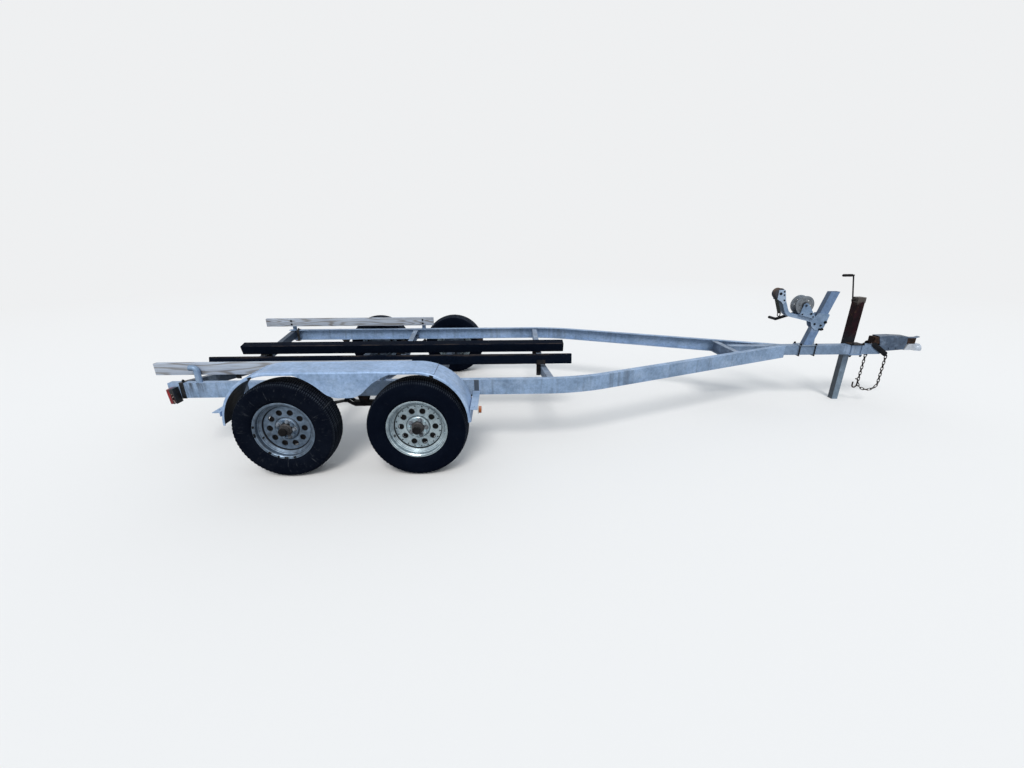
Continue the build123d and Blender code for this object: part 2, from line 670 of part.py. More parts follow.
def fender_outside_x(z):
    """How far forward the front end's outside reaches at height z."""
    return FENDER_CENTRE_X + sqrt(FENDER_RADIUS ** 2 - (z - FENDER_CENTRE_Z) ** 2)


def fender_apron():
    """Side view of the apron between the wheels, its lower corners rounded."""
    low, top = AXLE_Z + APRON_BOTTOM_RISE, FENDER_TOP - FENDER_EDGE - OVERSHOOT
    apron = polygon((-AXLE_X, top), (AXLE_X, top), (AXLE_X, low), (-AXLE_X, low))
    arch = Circle(TYRE_RADIUS + APRON_GAP)
    for x in (AXLE_X, -AXLE_X):
        apron -= Pos(x, AXLE_Z) * arch
    corners = apron.vertices().sort_by(Axis.Y)[:2]
    return fillet(corners, APRON_CORNER)


def make_fender():
    """Centre, front end and rear end, parted at two seams."""
    cx = FENDER_CENTRE_X
    turn = Axis((cx, 0, FENDER_CENTRE_Z), (0, 1, 0))
    front_bow = revolve(Pos(cx, 0, 0) * (Plane.YZ * fender_section()), turn, 90)
    rear_bow = mirror(front_bow, about=Plane.YZ)
    apron = side_plate(fender_apron(), -FENDER_OUTER_Y, FENDER_SHEET - FENDER_OUTER_Y)
    reach, top = 2 * FENDER_OUTER_Y, FENDER_TOP + OVERSHOOT
    between_seams = block(-FENDER_SEAM_X, FENDER_SEAM_X, -reach, 0, 0, top)
    middle = cross_plate(fender_section(), -cx, cx) + (front_bow & between_seams) + (rear_bow & between_seams) + apron
    front = front_bow & block(FENDER_SEAM_X + SEAT, reach, -reach, 0, 0, top)
    return middle, front, mirror(front, about=Plane.YZ)


BRACKET_TOP = RAIL_TOP - BRACKET_DROP
BRACKET_X = fender_outside_x(BRACKET_TOP - BRACKET_HEIGHT) + SEAT


def make_fender_bracket():
    """Left front angle bar, from a plate on the rail's web out to the fender's end."""
    y0, y1 = RAIL_HALF_WIDTH + SEAT, FENDER_OUTER_Y
    x0, top = BRACKET_X, BRACKET_TOP
    bar = block(x0, x0 + BRACKET_WIDTH, y0, y1, top - ANGLE_WALL, top)
    bar += block(x0, x0 + ANGLE_WALL, y0, y1, top - BRACKET_HEIGHT, top)
    bar += block(x0 + 8, x0 + BRACKET_WIDTH - 8, y0, y0 + ANGLE_WALL, top - ANGLE_WALL, RAIL_TOP)
    hole_x, hole_y = x0 + BRACKET_WIDTH / 2 + 3, y1 - 45
    return bar - rod_z(hole_x, hole_y, top - 2 * ANGLE_WALL, top + ANGLE_WALL, BRACKET_HOLE)


def fender_brackets():
    front = make_fender_bracket()
    return both_sides(front) + both_sides(mirror(front, about=Plane.YZ))


TILT = radians(BUNK_TILT)
BUNK_BOTTOM = cross_top(BUNK_INNER) + BUNK_RISE


def bunk_strip(out0, out1, up0, up1):
    """Cross section in the tilted bunk's own directions, from the left bunk's lower inner corner."""
    corners = ((out0, up0), (out1, up0), (out1, up1), (out0, up1))
    return polygon(*[
        (BUNK_INNER + out * cos(TILT) - up * sin(TILT), BUNK_BOTTOM + out * sin(TILT) + up * cos(TILT))
        for out, up in corners])


def make_bunk(side, x0, x1):
    bunk = cross_plate(bunk_strip(0, BUNK_WIDTH, 0, BUNK_HEIGHT), x0, x1)
    return bunk if side > 0 else left_of(bunk)


def saddle_height(y):
    """Height of the middle of a saddle's plate at y."""
    return BUNK_BOTTOM - (SEAT + SADDLE_WALL / 2) / cos(TILT) + (y - BUNK_INNER) * tan(TILT)


def bunk_brackets():
    """Tilted saddles with an outer lip, on upright angles behind the crossmembers' webs."""
    brackets = []
    outer = BUNK_INNER + UPRIGHT_LEAD
    inner = outer - ANGLE_WALL
    back_inner = outer - UPRIGHT_LEG
    low = cross_top(outer) - CROSS_HEIGHT - SADDLE_WALL
    wide = BUNK_WIDTH + SEAT + SADDLE_WALL
    for _, x, open_side in CROSSMEMBERS:
        face = x - open_side * (CROSS_FLANGE / 2 + SEAT)
        arm = sorted((face, face - open_side * UPRIGHT_LEG))
        back = sorted((face, face - open_side * ANGLE_WALL))
        saddle = cross_plate(bunk_strip(0, wide, -SEAT - SADDLE_WALL, -SEAT), face - SADDLE_HALF, face + SADDLE_HALF)
        saddle += cross_plate(
            bunk_strip(BUNK_WIDTH + SEAT, wide, -SEAT - SADDLE_WALL, SADDLE_LIP), face - SADDLE_HALF, face + SADDLE_HALF)
        saddle += block(*arm, inner, outer, low, saddle_height(inner))
        saddle += block(*back, back_inner, outer, low, saddle_height(back_inner))
        brackets += both_sides(saddle)
    return brackets


def board_posts():
    """Tubes between the boards and the rails' outer edge; some end in an elbow that points back."""
    inner = BOARD_Y + BOARD_WIDTH / 2 + SEAT
    radius = (RAIL_HALF_WIDTH - inner) / 2
    y = inner + radius
    ring = Circle(radius) - Circle(radius - BOARD_POST_WALL)
    foot, top = RAIL_TOP + SEAT, BOARD_TOP - 8
    bend_z = top - radius - BOARD_ELBOW
    posts = []
    for side, x, stub in BOARD_POSTS:
        if stub:
            post = Pos(x, y, foot) * extrude(ring, bend_z - foot)
            turn = Axis((x - BOARD_ELBOW, y, bend_z), (0, -1, 0))
            post += revolve(Pos(x, y, bend_z) * ring, turn, 90)
            post += Pos(x - stub, y, top - radius) * extrude(Plane.YZ * ring, stub - BOARD_ELBOW)
        else:
            post = Pos(x, y, foot) * extrude(ring, top - foot)
        posts.append(post if side > 0 else left_of(post))
    return posts


LEAN = radians(POST_LEAN)
PLATE_TOP = RAIL_TOP + SEAT + PLATE
POST_TOP = RAIL_TOP + POST_RISE


def post_axis_x(z):
    return POST_BASE_X + (z - PLATE_TOP) * tan(LEAN)


def post_band(half, z0, z1):
    """Side view of a strip along the winch post, half as deep each way, with level ends."""
    reach = half / cos(LEAN)
    x0, x1 = post_axis_x(z0), post_axis_x(z1)
    return polygon((x0 - reach, z0), (x0 + reach, z0), (x1 + reach, z1), (x1 - reach, z1))


def make_post():
    half = POST_DEPTH / 2
    w = POST_WIDTH / 2
    z0 = PLATE_TOP + SEAT
    outer = side_plate(post_band(half, z0, POST_TOP), -w, w)
    return outer - side_plate(post_band(half - POST_WALL, z0, POST_TOP), -w + POST_WALL, w - POST_WALL)


def post_foot():
    """Plate on the tongue with its gusset, held by two square U-bolts."""
    x0, x1 = POST_BASE_X - FOOT_REAR, POST_BASE_X + FOOT_FRONT
    wide = TONGUE_HALF + 14
    foot = block(x0, x1, -wide, wide, RAIL_TOP + SEAT, PLATE_TOP)
    front = POST_BASE_X + (POST_DEPTH / 2 + SEAT) / cos(LEAN)
    gusset = polygon(
        (front, PLATE_TOP), (front + GUSSET_FOOT, PLATE_TOP),
        (front + GUSSET_HEIGHT * tan(LEAN), PLATE_TOP + GUSSET_HEIGHT))
    foot += side_plate(gusset, -PLATE / 2, PLATE / 2)
    bolt_y = TONGUE_HALF + U_BOLT_RADIUS + 1
    under = TONGUE_BOTTOM - U_BOLT_RADIUS - 2
    for x in (x0 + 14, x1 - 14):
        for y in (-bolt_y, bolt_y):
            foot += rod_z(x, y, under - U_BOLT_RADIUS, PLATE_TOP + 12, U_BOLT_RADIUS)
        foot += rod_y(x, under, -bolt_y - U_BOLT_RADIUS, bolt_y + U_BOLT_RADIUS, U_BOLT_RADIUS)
    return foot


ARM_PATH = shifted(ARM_CORNERS, POST_BASE_X, RAIL_TOP)
ARM_HALF_WIDTH = POST_WIDTH / 2 + SEAT + CHEEK_WALL


def arm_band(width):
    with BuildSketch() as band:
        with BuildLine():
            FilletPolyline(*ARM_PATH, radius=ARM_BEND)
        trace(line_width=width)
    return band.sketch


def make_arm():
    """Bent box section from the post to the roller, with two cheeks clamped round the post."""
    w = ARM_HALF_WIDTH
    inner = POST_WIDTH / 2 + SEAT
    core = arm_band(ARM_THICKNESS - 2 * ARM_WALL)
    arm = side_plate(arm_band(ARM_THICKNESS), -w, w) - side_plate(core, -w + ARM_WALL, w - ARM_WALL)
    arm -= side_plate(post_band(POST_DEPTH / 2 + SEAT, PLATE_TOP, POST_TOP), -inner, inner)
    outline = polygon(*shifted(CHEEK_CORNERS, POST_BASE_X, RAIL_TOP))
    cheek = fillet(outline.vertices(), CHEEK_ROUND)
    for y in (-w, inner):
        arm += side_plate(cheek, y, y + CHEEK_WALL)
    for height in CHEEK_BOLTS:
        z = PLATE_TOP + height
        x = post_axis_x(z) + (POST_DEPTH / 2 + U_BOLT_RADIUS + 3) / cos(LEAN)
        arm += rod_y(x, z, -w - 8, w + 8, U_BOLT_RADIUS)
    return arm


ROLLER_X = POST_BASE_X - ROLLER_BACK
ROLLER_Z = RAIL_TOP + ROLLER_RISE


def bow_bracket():
    """Two cheeks beside the arm's end and the roller's pin."""
    w = ARM_HALF_WIDTH
    cheek = polygon(*shifted(ROLLER_CHEEK, ROLLER_X, ROLLER_Z))
    bracket = rod_y(ROLLER_X, ROLLER_Z, -w - 12, w + 12, ROLLER_BORE)
    for y in (-w - SEAT - FRAME_WALL, w + SEAT):
        bracket += side_plate(cheek, y, y + FRAME_WALL)
    return bracket


def bow_roller():
    """Rubber roller, waisted in the middle."""
    w = ARM_HALF_WIDTH - 2
    waist = ROLLER_RADIUS - 5
    bore = ROLLER_BORE + SEAT
    roller = revolve_y([
        (-w, bore), (-w, ROLLER_RADIUS - 3), (3 - w, ROLLER_RADIUS), (12 - w, ROLLER_RADIUS), (0, waist),
        (w - 12, ROLLER_RADIUS), (w - 3, ROLLER_RADIUS), (w, ROLLER_RADIUS - 3), (w, bore)])
    return Pos(ROLLER_X, 0, ROLLER_Z) * roller


def bow_strap():
    """Webbing that hangs from the roller beside the arm's end."""
    waist = ROLLER_RADIUS - 5
    offset = 8
    top = (ROLLER_X - offset, ROLLER_Z - sqrt(ROLLER_RADIUS ** 2 - offset ** 2) - SEAT)
    low = (ROLLER_X + waist + 3, top[1] - STRAP_LENGTH)
    t = STRAP_THICKNESS
    return side_plate(polygon(top, low, (low[0] - t, low[1]), (top[0] - t, top[1])), -STRAP_WIDTH / 2, STRAP_WIDTH / 2)


ARM_SLOPE = (ARM_PATH[1][1] - ARM_PATH[0][1]) / (ARM_PATH[1][0] - ARM_PATH[0][0])
ARM_STEEP = sqrt(1 + ARM_SLOPE ** 2)


def arm_top(x):
    """Height of the seat on the arm's upper side at x."""
    return ARM_PATH[0][1] + ARM_SLOPE * (x - ARM_PATH[0][0]) + (ARM_THICKNESS / 2 + SEAT) * ARM_STEEP


GEAR_RADIUS = GEAR_MODULE * GEAR_TEETH / 2
GEAR_TIP = GEAR_RADIUS + 0.8 * GEAR_MODULE
DRUM_X = POST_BASE_X - DRUM_BACK
DRUM_Z = arm_top(DRUM_X) + FRAME_BASE + (max(GEAR_TIP, FLANGE_RADIUS) + CLEARANCE) * ARM_STEEP
SHAFT_SPAN = GEAR_RADIUS + GEAR_MODULE * PINION_TEETH / 2
PINION_X = DRUM_X + SHAFT_SPAN * cos(radians(PINION_ANGLE))
PINION_Z = DRUM_Z + SHAFT_SPAN * sin(radians(PINION_ANGLE))
FRAME_Y = DRUM_HALF_WIDTH + GEAR_FACE + CLEARANCE
CRANK_Y = FRAME_Y + CRANK_OFFSET


def gear_face(teeth, shift):
    """Gear outline with straight-sided teeth; shift turns it by a share of one tooth."""
    pitch = GEAR_MODULE * teeth / 2
    tip, root = pitch + 0.8 * GEAR_MODULE, pitch - 1.2 * GEAR_MODULE
    step = 360 / teeth
    points = []
    for tooth in range(teeth):
        middle = (tooth + shift) * step
        for radius, share in ((root, -0.32), (tip, -0.13), (tip, 0.13), (root, 0.32)):
            angle = radians(middle + share * step)
            points.append((radius * cos(angle), radius * sin(angle)))
    return polygon(*points)


def winch_drum():
    """Core between a pierced flange on the right and the large gear on the left."""
    w = DRUM_HALF_WIDTH
    drum = rod_y(DRUM_X, DRUM_Z, -w, w, CORE_RADIUS)
    drum += rod_y(DRUM_X, DRUM_Z, -w, FLANGE_WALL - w, FLANGE_RADIUS)
    gear = Pos(DRUM_X, DRUM_Z) * Rot(0, 0, PINION_ANGLE) * gear_face(GEAR_TEETH, 0.5)
    drum += side_plate(gear, w - OVERSHOOT, w + GEAR_FACE - OVERSHOOT)
    for spot in PolarLocations(FLANGE_HOLE_CIRCLE, FLANGE_HOLES):
        x, z = DRUM_X + spot.position.X, DRUM_Z + spot.position.Y
        drum -= rod_y(x, z, -w - OVERSHOOT, w + GEAR_FACE, FLANGE_HOLE_RADIUS)
    return drum - rod_y(DRUM_X, DRUM_Z, -w - OVERSHOOT, w + GEAR_FACE, DRUM_AXLE_RADIUS + RUNNING)


def winch_frame():
    """Base on the arm, two cheeks and the drum's fixed axle."""
    x0, x1 = DRUM_X - 42, PINION_X + 46
    y1 = FRAME_Y + FRAME_WALL
    base = side_plate(polygon(
        (x0, arm_top(x0)), (x1, arm_top(x1)), (x1, arm_top(x1) + FRAME_BASE),
        (x0, arm_top(x0) + FRAME_BASE)), -y1, y1)
    cheek = polygon(
        (x0, arm_top(x0)), (x1, arm_top(x1)), (x1 - 4, arm_top(x1) + 26),
        (DRUM_X + 20, DRUM_Z + 18), (DRUM_X, DRUM_Z + 24), (DRUM_X - 20, DRUM_Z + 12))
    frame = base + rod_y(DRUM_X, DRUM_Z, -y1 - 6, y1 + 6, DRUM_AXLE_RADIUS)
    bore = CRANK_SHAFT_RADIUS + RUNNING
    for y in (-y1, FRAME_Y):
        plate = side_plate(cheek, y, y + FRAME_WALL)
        frame += plate - rod_y(PINION_X, PINION_Z, y - OVERSHOOT, y + FRAME_WALL + OVERSHOOT, bore)
    return frame


def winch_crank():
    """Pinion, its shaft through both cheeks, the arm and its grip."""
    y1 = FRAME_Y + FRAME_WALL
    crank = rod_y(PINION_X, PINION_Z, -y1 - 8, CRANK_Y, CRANK_SHAFT_RADIUS)
    pinion = Pos(PINION_X, PINION_Z) * Rot(0, 0, PINION_ANGLE + 180) * gear_face(PINION_TEETH, 0.0)
    crank += side_plate(pinion, DRUM_HALF_WIDTH - 2, DRUM_HALF_WIDTH + GEAR_FACE)
    crank += rod_y(PINION_X, PINION_Z, y1 + 1, y1 + 9, 14)
    arm = Rot(0, 0, CRANK_ANGLE) * Pos(CRANK_LENGTH / 2, 0) * SlotCenterToCenter(CRANK_LENGTH, CRANK_WIDTH)
    crank += side_plate(Pos(PINION_X, PINION_Z) * arm, CRANK_Y - 8, CRANK_Y)
    grip_x = PINION_X + CRANK_LENGTH * cos(radians(CRANK_ANGLE))
    grip_z = PINION_Z + CRANK_LENGTH * sin(radians(CRANK_ANGLE))
    return crank + rod_y(grip_x, grip_z, CRANK_Y - OVERSHOOT, CRANK_Y + GRIP_LENGTH, GRIP_RADIUS)


JACK_TOP = RAIL_TOP + JACK_RISE


def jack_tube():
    """Outer tube with a collar and a cap at its top."""
    wall = (JACK_TUBE - JACK_LEG) / 2 - SEAT
    tube = square_tube(JACK_X, JACK_Y, TONGUE_BOTTOM - JACK_TUBE_DROP, JACK_TOP, JACK_TUBE, wall)
    size = JACK_TUBE + 2 * JACK_BAND_WALL
    collar = square_tube(JACK_X, JACK_Y, JACK_TOP - JACK_BAND_HEIGHT, JACK_TOP, size, JACK_BAND_WALL + wall)
    cap = Pos(JACK_X, JACK_Y, JACK_TOP + 2) * Box(size, size, 4)
    return tube + collar + cap


def jack_leg():
    return square_tube(JACK_X, JACK_Y, 0, RAIL_TOP + JACK_LEG_TOP, JACK_LEG, JACK_LEG_WALL)


def jack_mount():
    """Plates above, below and beside the tongue, drawn together by two bolts."""
    y1 = JACK_Y - JACK_TUBE / 2 - SEAT
    x0, x1 = JACK_X - 62, JACK_X + 62
    z0, z1 = TONGUE_BOTTOM - SEAT, RAIL_TOP + SEAT
    y0 = -TONGUE_HALF - 2 * U_BOLT_RADIUS
    mount = block(x0, x1, TONGUE_HALF + SEAT, y1, z0 - JACK_PLATE, z1 + JACK_PLATE)
    mount += block(x0, x1, y0, y1, z0 - JACK_PLATE, z0) + block(x0, x1, y0, y1, z1, z1 + JACK_PLATE)
    for x in (x0 + 12, x1 - 12):
        mount += rod_z(x, -TONGUE_HALF - U_BOLT_RADIUS - 1, z0 - 14, z1 + 14, U_BOLT_RADIUS)
    return mount


def jack_crank():
    """Stub out of the collar, an upright arm and a handle that points back."""
    z = JACK_TOP - JACK_BAND_HEIGHT / 2
    x1 = JACK_X - JACK_TUBE / 2 - JACK_BAND_WALL - SEAT
    arm_x = x1 - 22
    lean = radians(JACK_CRANK_LEAN)
    top_y, top_z = JACK_Y + JACK_CRANK_ARM * sin(lean), z + JACK_CRANK_ARM * cos(lean)
    r = JACK_CRANK_RADIUS
    upright = Pos(0, 0, JACK_CRANK_ARM / 2) * Cylinder(r, JACK_CRANK_ARM)
    arm = Pos(arm_x, JACK_Y, z) * Rot(-JACK_CRANK_LEAN, 0, 0) * upright
    stub = rod_x(JACK_Y, z, arm_x - r - 2, x1, r + 2)
    return stub + arm + rod_x(top_y, top_z, arm_x - JACK_CRANK_HANDLE, arm_x + r, JACK_HANDLE_RADIUS)


def coupler_case():
    """Folded cover over the tongue's end, open below and at both ends, with its bolts."""
    outline = shifted(CASE_OUTLINE, TONGUE_FRONT, RAIL_TOP)
    roof = outline[:3]
    front, rear = roof[2][0] + 3 * CASE_WALL, roof[0][0] - CASE_WALL
    floor = RAIL_TOP - RAIL_HEIGHT
    under_roof = [(x, z - CASE_WALL) for x, z in roof]
    core = polygon((rear, under_roof[0][1]), *under_roof, (front, under_roof[2][1]), (front, floor), (rear, floor))
    w = CASE_HALF
    case = side_plate(polygon(*outline), -w, w) - side_plate(core, -w + CASE_WALL, w - CASE_WALL)
    for lead in CASE_BOLTS:
        x, z = TONGUE_FRONT + lead, RAIL_TOP + CASE_BOLT_RISE
        case += rod_y(x, z, -w - 7, -w, 9) + rod_y(x, z, w, w + 7, 9)
    return case


SLIDE_TOP = RAIL_TOP + CASE_OUTLINE[2][1] - CASE_WALL - SEAT
NECK_TOP = BALL_Z + SOCKET_TOP


def coupler_slide():
    """Inner bar that slides in the case over the tongue and carries the socket."""
    x0, x1 = TONGUE_FRONT + SLIDE_REAR, BALL_X - SOCKET_REACH
    case_front = TONGUE_FRONT + CASE_OUTLINE[2][0]
    slide = block(x0, case_front, -TONGUE_HALF, TONGUE_HALF, RAIL_TOP + SLIDE_RISE, SLIDE_TOP)
    slide += block(TONGUE_FRONT + 20, case_front, -TONGUE_HALF, TONGUE_HALF, BALL_Z, SLIDE_TOP)
    nose = SLIDE_NOSE_HALF
    return slide + block(case_front, x1, -nose, nose, NECK_TOP + SEAT, RAIL_TOP + SLIDE_NOSE_TOP)


def ball_socket():
    """Pressed socket: round over the ball, tapering back under the slide."""
    bulb = Pos(BALL_X, 0, BALL_Z) * Sphere(SOCKET_REACH - 2)
    rim = rod_z(BALL_X, 0, BALL_Z - SOCKET_SKIRT, BALL_Z, SOCKET_REACH)
    rear = TONGUE_FRONT + CASE_OUTLINE[2][0] + 10
    low = BALL_Z - SOCKET_SKIRT + 6
    neck = side_plate(polygon(
        (rear, low), (rear + 32, NECK_TOP), (BALL_X, NECK_TOP), (BALL_X, low)), -NECK_HALF, NECK_HALF)
    body = bulb + rim + neck
    reach = 2 * SOCKET_REACH
    body -= block(rear - reach, BALL_X + reach, -reach, reach, BALL_Z - reach, BALL_Z - SOCKET_SKIRT)
    body -= block(rear - reach, BALL_X + reach, -reach, reach, NECK_TOP, NECK_TOP + reach)
    ball = BALL_RADIUS + SEAT
    body -= rod_z(BALL_X, 0, BALL_Z - reach, BALL_Z, ball)
    return body - Pos(BALL_X, 0, BALL_Z) * Sphere(ball)


def coupler_latch():
    """Lever that lies on the slide's nose and on the socket, its front end turned up."""
    z = RAIL_TOP + SLIDE_NOSE_TOP + SEAT
    rear = TONGUE_FRONT + CASE_OUTLINE[2][0] + 16
    front = BALL_X - SOCKET_REACH + SEAT
    half = LATCH_WIDTH / 2
    side = polygon(
        (rear, z), (front, z), (front, NECK_TOP + SEAT), (front + LATCH_WALL, NECK_TOP + SEAT),
        (front + LATCH_WALL, z), (BALL_X - 4, z + LATCH_WALL), (BALL_X - 10, z + 2 * LATCH_WALL),
        (front, z + LATCH_WALL), (rear, z + LATCH_WALL))
    return side_plate(side, -half, half)


CHAIN_PIN_Z = TONGUE_BOTTOM - CHAIN_PIN_DROP
BRACKET_PLATE_Y = CASE_HALF + SEAT + CHEEK_WALL
CHAIN_LEFT = (TONGUE_FRONT - CHAIN_EYE_BACK, 0.0)
CHAIN_RIGHT = (TONGUE_FRONT + CHAIN_BRACKET_LEAD, -BRACKET_PLATE_Y - CHAIN_STANDOFF)


def make_link():
    """One link: an eight-sided ring of diamond section, long along X, flat in the XY plane."""
    half_l, half_w = LINK_INNER_LENGTH / 2 + LINK_BAR, LINK_INNER_WIDTH / 2 + LINK_BAR
    cut = half_w / 2

    def ring(l, w, c):
        return polygon((l, w - c), (l - c, w), (c - l, w), (-l, w - c), (-l, c - w), (c - l, -w), (l - c, -w), (l, c - w))

    b = LINK_BAR
    outer = extrude(ring(half_l + b, half_w + b, cut + b * tan(pi / 8)), b, taper=45)
    inner = extrude(ring(half_l - b, half_w - b, cut - b * tan(pi / 8)), b, taper=-45)
    top = outer - inner
    return top + mirror(top, about=Plane.XY)


def chain_spots():
    """Place, direction and side of each link along a hanging loop with a round bottom."""
    run = hypot(CHAIN_RIGHT[0] - CHAIN_LEFT[0], CHAIN_RIGHT[1] - CHAIN_LEFT[1])
    across = Vector(CHAIN_RIGHT[0] - CHAIN_LEFT[0], CHAIN_RIGHT[1] - CHAIN_LEFT[1], 0) / run
    radius = run / 2
    top_z = CHAIN_PIN_Z - (LINK_INNER_LENGTH / 2 - CHAIN_PIN_RADIUS - SEAT)
    total = (LINK_INNER_LENGTH - SEAT) * (CHAIN_LINKS - 1)
    drop = (total - pi * radius) / 2
    start = Vector(*CHAIN_LEFT, top_z)
    spots = []
    for number in range(CHAIN_LINKS):
        s = total * number / (CHAIN_LINKS - 1)
        if s < drop:
            place, heading = start - Vector(0, 0, s), Vector(0, 0, -1)
        elif s > total - drop:
            place, heading = start + across * run - Vector(0, 0, total - s), Vector(0, 0, 1)
        else:
            turn = (s - drop) / radius
            place = start + across * (radius - radius * cos(turn)) - Vector(0, 0, drop + radius * sin(turn))
            heading = across * sin(turn) - Vector(0, 0, cos(turn))
        flat = across.cross(Vector(0, 0, 1))
        spots.append((place, heading, flat if number % 2 == 0 else flat.cross(heading)))
    return spots


def safety_chains():
    """Chain loop, the eye under the tongue and the two bracket plates beside the case."""
    link = make_link()
    chain = [Plane(origin=place, x_dir=heading, z_dir=flat) * link for place, heading, flat in chain_spots()]
    x, y = CHAIN_LEFT
    half = CHAIN_EYE_LEG + PLATE
    eye = rod_y(x, CHAIN_PIN_Z, y - half, y + half, CHAIN_PIN_RADIUS)
    for y0 in (y - half, y + CHAIN_EYE_LEG):
        eye += block(x - PLATE, x + PLATE, y0, y0 + PLATE, CHAIN_PIN_Z - PLATE, TONGUE_BOTTOM - SEAT)
    lean = Rot(0, 0, CHAIN_BRACKET_ANGLE)
    reach = (CHAIN_BRACKET_LENGTH - CHAIN_BRACKET_WIDTH) / 2
    low = radians(CHAIN_BRACKET_ANGLE)
    centre_x = CHAIN_RIGHT[0] - CHAIN_PIN_AHEAD - reach * cos(low)
    centre_z = CHAIN_PIN_Z + CHAIN_PIN_BELOW - reach * sin(low)
    outline = Pos(centre_x, centre_z) * lean * SlotOverall(CHAIN_BRACKET_LENGTH, CHAIN_BRACKET_WIDTH)
    plate = side_plate(outline, -BRACKET_PLATE_Y, -CASE_HALF - SEAT)
    pin_y = CHAIN_RIGHT[1] - CHAIN_STANDOFF
    right = plate + rod_y(CHAIN_RIGHT[0], CHAIN_PIN_Z, pin_y, -BRACKET_PLATE_Y, CHAIN_PIN_RADIUS)
    return chain + [eye, right, left_of(plate)]


def make_tail_lamp(broken):
    """Housing open to the rear with its lens, drawn from the rail's web outwards to the left."""
    x0 = RAIL_REAR + LAMP_LEAD
    x1 = x0 + LAMP_LENGTH
    y0 = RAIL_HALF_WIDTH + SEAT
    y1 = y0 + LAMP_WIDTH
    z1 = RAIL_TOP - LAMP_DROP
    z0 = z1 - LAMP_HEIGHT
    w = LAMP_WALL
    housing = block(x0 + LENS_THICKNESS + SEAT, x1, y0, y1, z0, z1)
    housing -= block(x0, x1 - w, y0 + w, y1 - w, z0 + w, z1 - w)
    if broken:
        hole = polygon(*shifted(LAMP_HOLE, x0 + LENS_THICKNESS, z0))
        housing -= side_plate(hole, y0 + w, y1 + w)
    lens = block(x0, x0 + LENS_THICKNESS, y0, y1, z0, z1)
    lens = fillet(lens.edges().filter_by(Axis.X), 8)
    middle = Pos((x0 + x1) / 2, 0, (z0 + z1) / 2)
    tilt = middle * Rot(0, LAMP_TILT if broken else 0, 0) * middle.inverse()
    return [tilt * housing, tilt * lens]


def rail_strap():
    """Band round the rail just ahead of the rear crossmember."""
    x0 = RAIL_REAR + RAIL_BAND_LEAD
    x1 = x0 + RAIL_BAND_LENGTH
    w = LAMP_WALL
    y0, y1 = RAIL_HALF_WIDTH - RAIL_FLANGE - SEAT, RAIL_HALF_WIDTH + SEAT
    z0, z1 = RAIL_BOTTOM - SEAT, RAIL_TOP + SEAT
    return block(x0, x1, y0 - w, y1 + w, z0 - w, z1 + w) - block(x0, x1, y0, y1, z0, z1)


def tail_lamps():
    left = make_tail_lamp(False)
    right = [left_of(piece) for piece in make_tail_lamp(True)]
    return left + right + both_sides(rail_strap())


def marker_lamps():
    """Base and lens in front of each fender bracket's outer end."""
    x = BRACKET_X + BRACKET_WIDTH + SEAT
    y1 = FENDER_OUTER_Y - 12
    z1 = BRACKET_TOP + 4
    z0 = z1 - MARKER_HEIGHT
    y0 = y1 - MARKER_WIDTH
    lamp = block(x, x + MARKER_BASE, y0, y1, z0, z1)
    lens = block(x + MARKER_BASE, x + MARKER_BASE + MARKER_LENS, y0 + 3, y1 - 3, z0 + 3, z1 - 3)
    lamp += fillet(lens.edges().filter_by(Axis.X), 6)
    return both_sides(lamp)


def make_board(side, x0, x1):
    half = BOARD_WIDTH / 2
    board = block(x0, x1, BOARD_Y - half, BOARD_Y + half, BOARD_TOP - BOARD_HEIGHT, BOARD_TOP)
    return board if side > 0 else left_of(board)


def add_frame(parts):
    rail = make_rail()
    parts["rail_right"] = rail
    parts["rail_left"] = left_of(rail)
    parts["tongue"] = make_tongue()
    parts["tongue_crossmember"] = make_tongue_crossmember()
    for name, x, open_side in CROSSMEMBERS:
        parts[name] = make_crossmember(x, open_side)


def add_running_gear(parts):
    right = {
        "spring_hangers": spring_hangers(),
        "leaf_springs": [make_spring(AXLE_X), make_spring(-AXLE_X)],
        "equaliser": rocker_set(),
        "axle_clamps": [make_axle_clamp(AXLE_X), make_axle_clamp(-AXLE_X)],
    }
    for name, pieces in right.items():
        parts[name + "_right"] = pieces
        parts[name + "_left"] = [left_of(piece) for piece in pieces]
    tyre, rim, hub = make_tyre(), make_rim(), make_hub()
    for end, x in (("front", AXLE_X), ("rear", -AXLE_X)):
        parts["axle_" + end] = make_axle(x)
        for side, turn, y in (("left", 0, WHEEL_Y), ("right", 180, -WHEEL_Y)):
            spot = Pos(x, y, AXLE_Z) * Rot(0, 0, turn)
            parts[f"tyre_{end}_{side}"] = spot * tyre
            parts[f"rim_{end}_{side}"] = spot * rim
            parts[f"hub_{end}_{side}"] = spot * hub


def add_bodywork(parts):
    middle, front, rear = make_fender()
    parts["fender_centre"] = middle
    parts["fender_front_end"] = front
    parts["fender_rear_end"] = rear
    parts["fender_brackets"] = fender_brackets()
    for name, side, x0, x1 in BUNKS:
        parts[name] = make_bunk(side, x0, x1)
    for name, side, x0, x1 in BOARDS:
        parts[name] = make_board(side, x0, x1)
    parts["bunk_brackets"] = bunk_brackets()
    parts["board_posts"] = board_posts()
    parts["tail_lamps"] = tail_lamps()
    parts["marker_lamps"] = marker_lamps()


